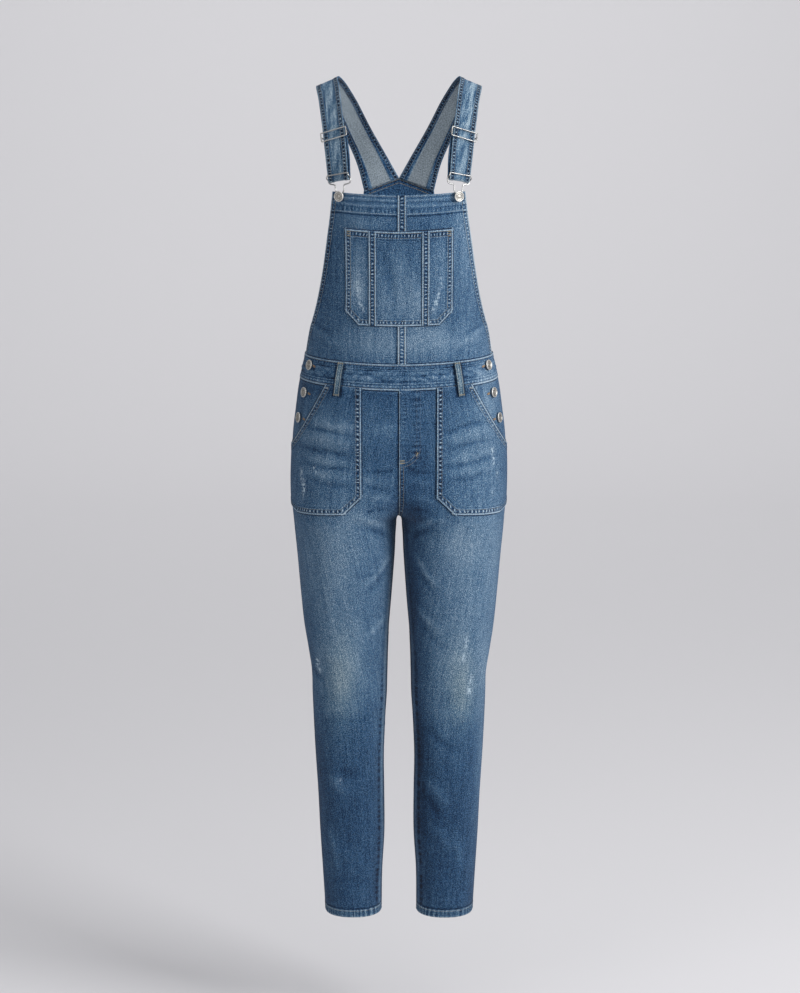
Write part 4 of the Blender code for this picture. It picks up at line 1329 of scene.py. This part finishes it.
def bib_edge(height):
    """Distance from the middle to the bib's side along the cloth, and the cosine of the edge's slant."""
    def reach(at):
        return front_form.span(at) - front_form.away_of(smooth(BIB_SIDE, 1, at), at)

    slant = (reach(height + 2) - reach(height - 2)) / 4
    return reach(height), 1 / np.sqrt(1 + slant**2)


def bib_cloth(away, height, side):
    cloth = Cloth(front_form, away, height, side, 0)
    middle = front_form.span(height) - away
    edge, level = bib_edge(height)
    top_in = BIB_TOP - height
    fold, ladder = hill(top_in, BAND_FOLD - 6, 3.5), rungs(away * side, 7.0, 12)
    cloth.relief += 0.45 * ramp(BAND_FOLD + 1, top_in - 1, top_in + 1) + 0.4 * hill(top_in, 0.9, 1.0)
    cloth.relief -= 0.25 * (hill(top_in, TOP_ROW, 0.6) + hill(top_in, BAND_FOLD - FOLD_ROW, 0.6))
    band = ramp(top_in, 2, 5) * ramp(BAND_FOLD - 2, top_in - 2, top_in + 2)
    waves = sum(hill(top_in, at + 0.8 * np.sin(away / 17 + at), 1.8) * amount for at, amount in BAND_WAVES)
    cloth.relief += 0.4 * waves * band + 0.3 * ladder * fold
    cloth.wash += (0.17 * waves + 0.04) * band + 0.3 * hill(top_in, 0.8, 1.2) + (0.26 * ladder - 0.06) * fold
    # paler along the band's worn fold; the dark line just below it is painted shadow under the band
    cloth.wash += 0.26 * hill(top_in, BAND_FOLD - 1.0, 1.1) - 0.4 * hill(top_in, BAND_FOLD + 1.6, 1.3)
    # painted shadow beside the edge of the felled middle strip
    cloth.wash -= 0.3 * hill(middle, 3, 2.4) * (side < 0)
    cloth.hem = np.maximum(cloth.hem, ramp(BAND_FOLD + 1, top_in - 0.5, top_in + 0.5))
    cloth.edge((edge - middle) * level, height, 9.5, SEAM_ROWS, 11 + np.mean(side), calm=0.1)
    return cloth


def bibs():
    heights = steps((WAIST_TOP - 6, BIB_TOP - 36, 2.2), (BIB_TOP - 36, BIB_TOP, 1.1))
    edges, _ = bib_edge(heights)
    middle = np.array([steps((0, edge - 13, (edge - 13) / 44), (edge - 13, edge, 1.2)) for edge in edges])
    height = heights[:, None] + 0 * middle
    levels = np.arange(WAIST_TOP, BIB_TOP - 1, 1.5)
    edge, level = bib_edge(levels)
    for hand, side in SIDES:
        group, cloth = f"bib_{hand}", bib_cloth(front_form.span(height) - middle, height, side)
        cloth_shell(group, cloth, middle * side)
        for row in SEAM_ROWS:
            sew_on(bib_cloth, group, TAN_THREAD, front_form.span(levels) - edge + row / level, levels, side)
        for at in (BIB_TOP - TOP_ROW, BIB_TOP - BAND_FOLD + FOLD_ROW):
            across = np.arange(1.0, float(bib_edge(at)[0]) - 9, 1.5)
            sew_on(bib_cloth, group, PALE_THREAD, float(front_form.span(at)) - across, at, side)


def strip_cloth(low, high, lift, seed, away, height, side):
    """The wear of a felled strip whose edges are at these signed distances from the middle."""
    cloth = Cloth(front_form, away, height, side, lift)
    across = (front_form.span(height) - away) * side
    inward = (high - low) / 2 - np.abs(across - (low + high) / 2)
    cloth.edge(inward, height, (high - low) * 0.9, (STRIP_ROW,), seed, rope=0.35, layer=0, calm=0.02)
    cloth.drop = FELL_LIFT - 0.1
    return cloth


def strip(node, group, low, high, top, bottom, lift, seed):
    width, length = high - low, top - bottom
    heights = steps((top, bottom, 1.3))
    across = np.linspace(low - 1.1, high + 1.1, round(width / 0.8) + 3) + 0 * heights[:, None]
    cloth_of = partial(strip_cloth, low, high, lift, seed)
    cloth = cloth_of(*middle_grid(front_form, heights, across))
    cloth_shell(node, cloth, across, STRIP_PLIES)
    levels = np.arange(bottom + 0.8, top - 0.5, 1.5)
    for at in (low + STRIP_ROW, high - STRIP_ROW):
        away = front_form.span(levels) - abs(at)
        sew_on(cloth_of, group, TAN_THREAD, away, levels, 1 if at > 0 else -1)


POCKET_EDGES = (
    # a point of the edge, the direction out of the pocket
    ((BIB_POCKET_HALF, 0), (1, 0)),
    ((BIB_POCKET_HALF, BIB_POCKET_BOTTOM + BIB_POCKET_CHAMFER), (1, -1)),
    ((0, BIB_POCKET_BOTTOM), (0, -1)),
    ((0, BIB_POCKET_TOP), (0, 1)),
)
POCKET_CORNERS = (
    (BIB_POCKET_HALF, BIB_POCKET_TOP),
    (BIB_POCKET_HALF, BIB_POCKET_BOTTOM + BIB_POCKET_CHAMFER),
    (BIB_POCKET_HALF - BIB_POCKET_CHAMFER, BIB_POCKET_BOTTOM),
    (0.5, BIB_POCKET_BOTTOM),
)
MOUTH_ROWS = (2.4, 9.8)


def bib_pocket_cloth(away, height, side):
    cloth = Cloth(front_form, away, height, side, PATCH_LIFT)
    x = cloth.x * side
    side_in = (BIB_POCKET_HALF - x) / np.maximum(np.abs(cloth.normal[..., 1]), 0.5)
    foot_in, top_in = height - BIB_POCKET_BOTTOM, BIB_POCKET_TOP - height
    chamfer_in = (BIB_POCKET_HALF - x + foot_in - BIB_POCKET_CHAMFER) / np.sqrt(2)
    cloth.reach = side_in, chamfer_in, foot_in, top_in
    seed = 20 + 1.0 * np.mean(side)
    cloth.edge(side_in, height, 9.5, SEAM_ROWS, seed)
    cloth.edge(chamfer_in, cloth.x, 9.5, SEAM_ROWS, seed + 1)
    cloth.edge(foot_in, cloth.x, 9.5, SEAM_ROWS, seed + 2)
    cloth.edge(top_in, cloth.x, 11.5, MOUTH_ROWS, seed + 3, pucker=0.4, period=5.0)
    return cloth


def bib_pocket():
    """The bib pocket's centre and sides, the felled seams over them, and those of the bib."""
    top, bottom, half, seam = BIB_POCKET_TOP, BIB_POCKET_BOTTOM, BIB_POCKET_HALF, BIB_POCKET_SEAM
    rim, foot = top + SKIRT, bottom - SKIRT
    heights = steps((rim, rim - 14, 1.1), (rim - 14, foot + 13, 1.9), (foot + 13, foot, 1.1))
    x, height = np.meshgrid(np.linspace(-seam, seam, 52), heights)
    across = np.sign(x) * (front_form.span(height) - front_form.away_of(np.abs(x), height))
    cloth = bib_pocket_cloth(*middle_grid(front_form, heights, across))
    cloth_shell("bib_pocket_centre", cloth, across)
    x, height = np.meshgrid(steps((seam, half - 12, 1.8), (half - 12, half + 2, 1.1)), heights)
    for hand, side in SIDES:
        kept, at, faces = trimmed_grid(front_form.away_of(x, height), height, POCKET_EDGES)
        cloth, across = bib_pocket_cloth(kept, at, side), (front_form.span(at) - kept) * side
        cloth_shell(f"bib_pocket_side_{hand}", cloth, across, faces=faces)
        for edge, ends in enumerate(zip(POCKET_CORNERS, POCKET_CORNERS[1:])):
            for row, material in zip(SEAM_ROWS, (PALE_THREAD, TAN_THREAD)):
                sew_edge(bib_pocket_cloth, POCKET_EDGES, edge, *ends, row, "bib_pocket", material, side)
        for row in MOUTH_ROWS:
            ends = (0.5, top), (half, top)
            sew_edge(bib_pocket_cloth, POCKET_EDGES, 3, *ends, row, "bib_pocket", TAN_THREAD, side)
        for level in (top - 3.0, top - 6.5, top - 10.0):
            ends = (half - 8.5, level), (half - 2.5, level)
            bartack(bib_pocket_cloth, "bib_pocket", TAN_THREAD, *ends, side, 2)
        low, high, lift = side * seam - FELL_WIDTH / 2, side * seam + FELL_WIDTH / 2, PATCH_LIFT + FELL_LIFT
        strip(f"bib_pocket_fell_{hand}", "bib_pocket", low, high, top, bottom, lift, 30 + side)
    for node, *ends, seed in (
        ("bib_seam_upper", BIB_TOP, BIB_POCKET_TOP, 33),
        ("bib_seam_lower", BIB_POCKET_BOTTOM, WAIST_TOP, 34),
    ):
        strip(node, "bib_seam", BIB_SEAM_START, BIB_SEAM_START + BIB_SEAM_WIDTH, *ends, FELL_LIFT, seed)


BACK_LOW = WAIST_TOP - 2  # foot of the back bib, behind the waistband
CHEVRON_ROWS = (2.0, 7.6)  # distances of the stitch rows from the chevron
CHEVRON_COSINE = 0.94  # of the slant of the chevron
SIDE_SECANT = 1.12  # of the slant of the back bib's sides


def chevron(x):
    """Height of the back bib's top edge."""
    return CHEVRON_PEAK + (CHEVRON_FOOT - CHEVRON_PEAK) * np.abs(x) / CHEVRON_HALF


def back_bib_cloth(away, height, side):
    cloth = Cloth(back_form, away, height, side, 0)
    x = np.abs(cloth.x)
    up = np.clip((height - BACK_LOW) / (chevron(x) - BACK_LOW), 0, 1)
    edge, lower, upper = (smooth(BACK_SIDE, 1, np.clip(up + near, 0, 1)) for near in (0, -0.02, 0.02))
    slant = (lower - upper) / (0.04 * (BIB_TOP - BACK_LOW))
    side_in = (edge - x) / np.sqrt(1 + slant**2) / np.maximum(np.abs(cloth.normal[..., 1]), 0.6)
    cloth.edge(side_in, height, 9.5, SEAM_ROWS, 41, calm=0.6)
    cloth.edge((chevron(x) - height) * CHEVRON_COSINE, x * side, 9.5, SEAM_ROWS, 42, calm=0.6)
    # the whole inside takes the dark dyed colour, partly as painted shade on the inside of the back bib
    cloth.hem = np.ones_like(x)
    cloth.yellow += 0.3
    cloth.wash += 0.04
    return cloth


def back_bib():
    """The back bib, whose sides and chevron are turned and stitched twice."""
    shares = steps((0, 0.94, 0.013), (0.94, 1, 0.0045))
    spread = np.linspace(-1, 1, 111)
    half = smooth(BACK_SIDE, 1, shares)
    x = half[:, None] * np.sign(spread) * (1 - (1 - np.abs(spread)) ** 1.25)
    height = BACK_LOW + shares[:, None] * (chevron(x) - BACK_LOW)
    away, side = back_form.away_of(np.abs(x), height), np.where(x < 0, -1.0, 1.0)
    across = (back_form.span(height) - away) * side
    cloth_shell("back_bib", back_bib_cloth(away, height, side), across)
    at = np.linspace(0.01, 0.995, 160)
    edge, x = smooth(BACK_SIDE, 1, at), np.linspace(0.5, CHEVRON_HALF - 8, 40)
    for _, way in SIDES:
        for row in SEAM_ROWS:
            level = BACK_LOW + at * (chevron(edge) - BACK_LOW)
            away = back_form.away_of(edge - row * SIDE_SECANT, level)
            sew_on(back_bib_cloth, "back_bib", TAN_THREAD, away, level, way)
        for row in CHEVRON_ROWS:
            level = chevron(x) - row / CHEVRON_COSINE
            away = back_form.away_of(x, level)
            sew_on(back_bib_cloth, "back_bib", RUST_THREAD, away, level, way)
            inner = back_bib_cloth(away, level, way)
            under = inner.final() - inner.normal * (SHELL + 0.05)
            sew("back_bib", TAN_THREAD, under, -inner.normal, radius=0.55)


# ---- straps
SLIDER_AT, STRAP_END = 2.0, 0.1  # place of the slider and the tail past it, in rows of STRAP_EDGES
FACE_ROWS, FOLD_ROWS, RETURN_ROWS = 240, 13, 41
HIDDEN_ROWS = 10  # last rows of the face, whose reverse lies in the fold round the hook
STRAP_WIDTH, STRAP_ROWS = 38.0, (2.3, STRAP_HEM - 1.5)  # distances of the stitch rows from its edges


def depth_at(x, height, back):
    """y of the body at a place in front view, above the crotch."""
    outer, side = smooth(BODY, OUTER, height), smooth(BODY, SIDE, height)
    reach = smooth(BODY, BACK if back else FRONT, height) - side
    return side + reach * np.clip(1 - np.abs(x / outer) ** POWER, 0, 1) ** (1 / POWER)


def strap_edges(at):
    """The two edges of the strap's face at places along it, in rows of STRAP_EDGES."""
    ends = [(PLY_GAP, CHEVRON_PEAK + 0.3), (CHEVRON_HALF, CHEVRON_FOOT + 0.3)]
    last = [value for x, z in ends for value in (x, float(depth_at(x, z, True)), z)]
    table = [(k, *row) for k, row in enumerate([*STRAP_EDGES, last])]
    return [np.stack([smooth(table, k, at) for k in columns], -1) for columns in ((1, 2, 3), (4, 5, 6))]


def strap_frame(at):
    """Centre of the strap's face, and its directions across, down the front and out."""
    inner, outer = strap_edges(at)
    ahead_inner, ahead_outer = strap_edges(at + 0.02)
    across = unit(outer - inner)
    down = (inner + outer - ahead_inner - ahead_outer) / 2
    down = unit(down - across * (down @ across))
    return (inner + outer) / 2, across, down, np.cross(down, across)


def strap_lines():
    """The strap's two edges from the back bib over the shoulder, round the hook and back up to the slider."""
    lines = [strap_edges(at) for at in np.linspace(len(STRAP_EDGES), 0, FACE_ROWS)]
    inner, outer = strap_edges(0.0)
    _, _, down, out = strap_frame(0.0)
    for turn in np.linspace(0, pi, FOLD_ROWS + 1)[1:]:
        move = down * FOLD_RADIUS * sin(turn) - out * FOLD_RADIUS * (1 - cos(turn))
        lines.append((inner + move, outer + move))
    for share in np.linspace(0, 1, RETURN_ROWS + 1)[1:]:
        at = share * (SLIDER_AT + STRAP_END)
        inner, outer = strap_edges(at)
        _, across, _, out = strap_frame(at)
        apart = 2 * FOLD_RADIUS - (2 * WIRE + 0.3) * sin(pi * share) ** 0.5
        move = -out * apart - across * 2.6 * sin(pi * share)
        lines.append((inner + move, outer + move))
    return np.array(lines)


def strap_fields(share, run, width, side):
    """The relief, the wear and the painted light of a strap, which lie across its width and along its run."""
    along = run[:, None] + 0 * share
    inward = (0.5 - np.abs(share - 0.5)) * width[:, None]
    shifted = along + 40 * (share > 0.5)
    grooves = sum(hill(inward, row, 0.5) for row in STRAP_ROWS)
    puckers = rungs(shifted, LADDER, 50 + side) * ramp(inward, 2, 3.2) * ramp(8, inward - 1, inward + 0.5)
    relief = 0.3 * hill(inward, 0.9, 0.9) + 0.28 * puckers - 0.25 * grooves - 0.5 * ramp(inward, 7.6, 9.2)
    relief += 0.25 * np.sin(along / 21 + share * 5) * hill(share, 0.5, 0.25)
    centre = hill(share, 0.62 if side > 0 else 0.45, 0.14) * (0.75 + 0.25 * np.sin(along / 37 + side))
    streak = np.sin(along / 9 + share * 22 * side) * np.sin(share * 9 + along / 60)
    thin = hill(share, 0.36 + 0.04 * np.sin(along / 31), 0.03)
    thin += hill(share, 0.66 + 0.05 * np.sin(along / 43), 0.035)
    slanted = np.sin((along + 46 * side * share) / 5.3 + 2 * np.sin(along / 17)) * hill(share, 0.5, 0.2)
    wash = (0.45 if side > 0 else 0.42) + 0.2 * centre + 0.16 * streak + 0.16 * thin + 0.13 * slanted
    wash += 0.2 * hill(inward, STRAP_HEM + 0.6, 0.8) - 0.28 * ramp(STRAP_HEM, inward - 2, inward)
    fold = run[FACE_ROWS + FOLD_ROWS // 2]
    # paler over the first stretch from the back bib: painted light where the strap lies in shade; the pale
    # line along the fold is wear
    wash += 0.14 * ramp(-along, -90, -20) + 0.5 * hill(along, fold, 3.5)
    fields = {"wash": wash, "yellow": 0 * wash + 0.9, "scuff": 0 * wash, "calm": 0 * wash - 0.1}
    fields["hem"] = ramp(STRAP_HEM + 0.4, inward - 0.4, inward + 0.4)
    fields["inward"], fields["along"] = inward * Cloth.SEAM_WIDTH / STRAP_HEM, shifted
    return along, relief, fields


def strap(hand, side):
    lines = strap_lines() * (side, 1, 1)
    inner, outer = lines[:, 0], lines[:, 1]
    centre, width = (inner + outer) / 2, np.linalg.norm(outer - inner, axis=1)
    run = run_along(centre)
    share = steps((0, 0.28, 0.03), (0.28, 0.72, 0.045), (0.72, 1, 0.03))
    normal = unit(np.cross(np.gradient(centre, axis=0), outer - inner))
    if normal[np.argmax(centre[:, 2]), 2] < 0:
        normal = -normal
    along, relief, fields = strap_fields(share, run, width, side)
    points = inner[:, None] * (1 - share)[:, None] + outer[:, None] * share[:, None]
    points = points + normal[:, None] * relief[..., None]
    flat = np.stack((share * width[:, None] * side, along), -1)
    faces, outward = grid_faces(*along.shape), np.repeat(normal[:, None], len(share), axis=1)
    piece = shell(f"strap_{hand}", points, faces, flat, fields, STRAP_THICK, outward)
    hems = piece.vertex_groups.new(name="hem")
    for column, from_middle in enumerate(np.abs(share - 0.5)):
        weight = 0.0 if from_middle < 0.5 - STRAP_HEM / STRAP_WIDTH else 1.0
        hems.add([row * len(share) + column for row in range(len(lines))], weight, "REPLACE")
    piece.modifiers["wall"].vertex_group = hems.name
    piece.modifiers["wall"].thickness_vertex_group = STRAP_THIN / STRAP_THICK
    toward, seen = (outer - inner) / width[:, None], slice(FACE_ROWS - HIDDEN_ROWS)
    for off in STRAP_ROWS:
        for row in (inner + toward * off, outer - toward * off):
            sew(f"strap_{hand}", PALE_THREAD, row + normal * 0.05, normal)
            under = row - normal * (STRAP_THICK + 0.05)
            sew(f"strap_{hand}", PALE_THREAD, under[seen], -normal[seen])


# ---- metal fittings
DRAWN = 0.82  # share of the solids' radius that the wires are drawn with
SLIDER_HALF, SLIDER_HEIGHT, SLIDER_BEND = 21.4, 14.6, 3.2
HOOK_HALF, HOOK_HEIGHT = 20.6, 6.0
HOOK_ARM = (
    # across, up the strap, out as a share of the way over the fold
    (HOOK_HALF - 3, HOOK_HEIGHT, 1),
    (HOOK_HALF - 1, HOOK_HEIGHT, 1),
    (HOOK_HALF, 2.1, 0.97),
    (HOOK_HALF, 0.7, 0.62),
    (HOOK_HALF, 0, 0),
)
HOOK_SHOULDER = (
    # half width, distance from the bar
    (HOOK_HALF, 4),
    (HOOK_HALF - 1, 6.6),
    (HOOK_HALF - 4, 8.2),
    (11.5, 8.8),
    (8.8, 9.6),
    (7.9, 11.4),
)
HOOK_NECK = (
    # half width, distance from the eye
    (7.9, -11),
    (7.2, -8),
    (4.9, -4),
)
HOOK_EYE, HOOK_SEAT = 4.7, 0.3 + 1.6 + WIRE  # radius of the eye, height of its wire's middle over the bib
BUTTON = (
    # radius, height over the shank: a dished middle, a bead, a raised rim
    (0, 1.75),
    (1.5, 1.7),
    (2.3, 1.45),
    (2.9, 1.3),
    (4.1, 1.3),
    (4.6, 1.75),
    (5.0, 1.8),
    (5.4, 1.5),
    (6.1, 1.55),
    (6.7, 2.2),
    (7.4, 2.4),
    (8.0, 2.1),
    (8.4, 1.4),
    (8.3, 0.7),
    (7.7, 0.1),
    (6.5, -0.1),
    (2.6, -0.2),
)
BUTTON_CLEAR, SHANK_RADIUS = 0.3, 2.6  # gap under the shank, and its radius
TARNISH = (
    # from radius, to radius, darkening
    (0, 2.5, 0.12),
    (2.5, 4.4, 0.34),
    (5.2, 6.3, 0.4),
)
BIB_SHANK, SIDE_SHANK = 5.2, 1.4


def wire(name, loop, bar, node):
    """A closed loop of round wire and the bar across it."""
    curve = bpy.data.curves.new(name, "CURVE")
    curve.dimensions, curve.use_fill_caps = "3D", True
    curve.bevel_depth, curve.bevel_resolution = DRAWN * WIRE * MM, 4
    for points, closed in ((loop, True), (bar, False)):
        spline = curve.splines.new("POLY")
        spline.points.add(len(points) - 1)
        for spot, point in zip(spline.points, points):
            spot.co = (*(np.array(point) * MM), 1)
        spline.use_cyclic_u, spline.use_smooth = closed, True
    curve.materials.append(STEEL)
    dressed(bpy.data.objects.new(name, curve), node)


def rounded(path, closed=True, passes=3):
    """Corner cutting, which turns a coarse path into a smooth one."""
    points = np.array(path, float)
    for _ in range(passes):
        after = np.roll(points, -1, axis=0) if closed else points[1:]
        before = points if closed else points[:-1]
        cuts = np.stack((0.78 * before + 0.22 * after, 0.22 * before + 0.78 * after), 1).reshape(-1, 3)
        points = cuts if closed else np.concatenate((points[:1], cuts, points[-1:]))
    return points


def placed(axes, points, side):
    """Points given across, down and out, as places on the strap's frame."""
    centre, across, down, out = axes
    return [(centre + across * u + down * v + out * w) * (side, 1, 1) for u, v, w in points]


def slider(hand, side):
    axes = strap_frame(SLIDER_AT)
    half, tall, over, under = SLIDER_HALF, SLIDER_HEIGHT / 2, WIRE + PLY_GAP, -STRAP_THICK - PLY_GAP - WIRE
    corners = np.array([(-half, -tall, over), (half, -tall, over), (half, tall, over), (-half, tall, over)])
    loop = []
    for corner, last, following in zip(corners, np.roll(corners, 1, axis=0), np.roll(corners, -1, axis=0)):
        bends = [corner + unit(other - corner) * SLIDER_BEND for other in (last, following)]
        loop += [bends[0], corner, bends[1]]
    bar = [(-half, 0, over), (-half + 0.2, 0, 0), (-half + 0.6, 0, under), (-half + 3, 0, under)]
    bar += [(-u, v, w) for u, v, w in reversed(bar)]
    bar = rounded(placed(axes, bar, side), False, 2)
    wire(f"wire_slider_{hand}", rounded(placed(axes, loop, side)), bar, f"slider_{hand}")


def seat(height, x, side, lift=0.0):
    """A place on the front and its normal."""
    level = np.array([height - float(front_form.bow(x, height))])
    places, normals = front_form.points(front_form.away_of(x, level), level, side)
    return places[0] + normals[0] * lift, normals[0]


def hook(hand, side):
    """The frame round the strap's fold, and the keyhole whose eye lies behind the bib button."""
    centre, across, down, out = strap_frame(0.0)
    bar_centre = centre - out * FOLD_RADIUS
    place, normal = seat(BIB_BUTTON_HEIGHT, BIB_BUTTON_X, 1)
    reach = place + normal * HOOK_SEAT - bar_centre
    length = np.linalg.norm(reach)
    reach = reach / length
    width = unit(across - reach * (across @ reach))
    over, frame_axes = FOLD_RADIUS + WIRE + PLY_GAP, (bar_centre, across, down, out)
    arms = []
    for turned in (1, -1):
        arm = [(turned * u, -up, over * share) for u, up, share in HOOK_ARM]
        arms.append(placed(frame_axes, arm, side))
    half = [*HOOK_SHOULDER, *((u, length + v) for u, v in HOOK_NECK)]
    turns = np.linspace(radians(-5), radians(185), 15)
    eye = [(HOOK_EYE * cos(turn), length + HOOK_EYE * sin(turn)) for turn in turns]
    outline = [(u, v, 0) for u, v in half + eye + [(-u, v) for u, v in reversed(half)]]
    keyhole = placed((bar_centre, width, reach, out), outline, side)
    bar = placed(frame_axes, [(-HOOK_HALF, 0, 0), (0, 0, 0), (HOOK_HALF, 0, 0)], side)
    wire(f"wire_hook_{hand}", rounded(arms[0] + keyhole + arms[1][::-1], True, 2), bar, f"hook_{hand}")


def button(name, place, normal, shank, node, count=48):
    """A turned button on its shank, with so many points round it."""
    profile = [(radius, BUTTON_CLEAR + shank + height) for radius, height in BUTTON]
    profile += [(SHANK_RADIUS, BUTTON_CLEAR), (0, BUTTON_CLEAR)]
    turns = [2 * pi * k / count for k in range(count)]
    rings = profile[1:-1]
    points = [(radius * cos(turn), radius * sin(turn), height) for radius, height in rings for turn in turns]
    faces = [face[::-1] for face in grid_faces(len(rings), count, closed=True).tolist()]
    crown, foot = len(points), len(points) + 1
    points += [(0, 0, profile[0][1]), (0, 0, profile[-1][1])]
    last = crown - count
    for k in range(count):
        after = (k + 1) % count
        faces += [(crown, k, after), (foot, last + after, last + k)]
    mesh = new_mesh(name, points, faces)
    shade = [sum(dark for low, high, dark in TARNISH if low <= radius < high) for radius, _ in rings]
    set_field(mesh, "hollow", [*np.repeat(shade, count), 0.12, 0.3])
    mesh.materials.append(SILVER)
    turn = Vector(normal).to_track_quat("Z", "Y").to_matrix().to_4x4()
    turn.translation = Vector(place) * MM
    mesh.transform(turn)
    dressed(bpy.data.objects.new(name, mesh), node)


def buttonhole(hand, side, height, x):
    """The worked keyhole that runs from under a side button towards the front."""
    cloth_of = partial(band_cloth if height > WAIST_BOTTOM else trouser_cloth, front_form)
    height -= float(front_form.bow(x, height))
    start = float(front_form.away_of(x - 5.0, height))
    for off in (-1.3, -0.45, 0.45, 1.3):
        away = np.linspace(start, start + 8 - abs(off) * 1.5, 12)
        level = height + off - (away - start) * 0.12
        group = f"buttonhole_{hand}"
        sew_on(cloth_of, group, RUST_THREAD, away, level, side, pitch=1.1, length=1.7, radius=0.5)


def fittings():
    for hand, side in SIDES:
        slider(hand, side)
        hook(hand, side)
        spot = seat(BIB_BUTTON_HEIGHT, BIB_BUTTON_X, side)
        button(f"silver_bib_button_{hand}", *spot, BIB_SHANK, f"bib_button_{hand}")
        for row, (height, x) in enumerate(SIDE_BUTTONS, 1):
            spot = seat(height, x, side, BAND_LIFT if height > WAIST_BOTTOM else 0)
            button(f"silver_side_button_{hand}_{row}", *spot, SIDE_SHANK, f"side_button_{hand}_{row}")
            buttonhole(hand, side, height, x)


# ---- studio, in metres
CAMERA_AT, CAMERA_DOWN = (0, -4.2, 0.15), 11.3
FOCAL_PIXELS, IMAGE_HEIGHT, SENSOR = 2594.0, 993, 36.0
LIGHTS = (
    # name, place, width and height, power, what it points at
    ("key", (3.4, -2.2, 1.0), (1.8, 2.2), 190, (0, 0, -0.6)),
    ("fill", (-2.8, -3.2, 0.2), (2.2, 2.4), 34, (0, 0, -0.8)),
    ("top", (0.6, -0.4, 2.4), (2.0, 2.0), 40, (0, 0, -0.4)),
    ("wall", (0, 5.0, 3.0), (7.0, 2.0), 118, (0, 6.4, -1.6)),
)
DAYLIGHT, DAYLIGHT_STRENGTH, PAPER = (0.86, 0.87, 0.9, 1), 0.5, (0.606, 0.599, 0.614)


def studio():
    scene = bpy.context.scene
    scene.view_settings.view_transform = "Standard"
    scene.world = bpy.data.worlds.new("studio")
    scene.world.use_nodes = True
    daylight = scene.world.node_tree.nodes["Background"]
    daylight.inputs["Color"].default_value = DAYLIGHT
    daylight.inputs["Strength"].default_value = DAYLIGHT_STRENGTH
    for name, place, size, power, aim in LIGHTS:
        light = bpy.data.lights.new(name, "AREA")
        light.shape, light.size, light.size_y, light.energy = "RECTANGLE", *size, power
        lamp = bpy.data.objects.new(name, light)
        lamp.location = place
        lamp.rotation_euler = (Vector(aim) - Vector(place)).to_track_quat("-Z", "Y").to_euler()
        scene.collection.objects.link(lamp)
    backdrop()
    camera = bpy.data.cameras.new("camera")
    camera.sensor_width, camera.lens = SENSOR, FOCAL_PIXELS * SENSOR / IMAGE_HEIGHT
    camera.shift_x = 1 / IMAGE_HEIGHT
    view = bpy.data.objects.new("camera", camera)
    view.location = CAMERA_AT
    view.rotation_euler = (radians(90 - CAMERA_DOWN), 0, 0)
    scene.collection.objects.link(view)
    scene.camera = view


def backdrop():
    """A pale floor that curves up into a wall."""
    floor, front, wall, bend, half, top = -1.62, -7.0, 7.5, 3.0, 12.0, 8.0
    turns = np.linspace(0, pi / 2, 24)
    curve = [(wall - bend + bend * sin(turn), floor + bend * (1 - cos(turn))) for turn in turns]
    profile = [(front, floor), *curve, (wall, top)]
    points = [(x, y, z) for y, z in profile for x in (-half, half)]
    faces = [(2 * k, 2 * k + 1, 2 * k + 3, 2 * k + 2) for k in range(len(profile) - 1)]
    mesh = new_mesh("backdrop", np.array(points) / MM, faces)
    paper = Finish("pale_paper")
    paper.fill(paper.shader, Base_Color=PAPER, Roughness=1.0, Specular_IOR_Level=0.0)
    mesh.materials.append(paper.material)
    sheet = bpy.data.objects.new("backdrop", mesh)
    bpy.context.scene.collection.objects.link(sheet)


studio()
trousers()
hip_pockets()
waistbands()
belt_loops()
bibs()
bib_pocket()
back_bib()
for hand, side in SIDES:
    strap(hand, side)
fittings()
gather_stitches()
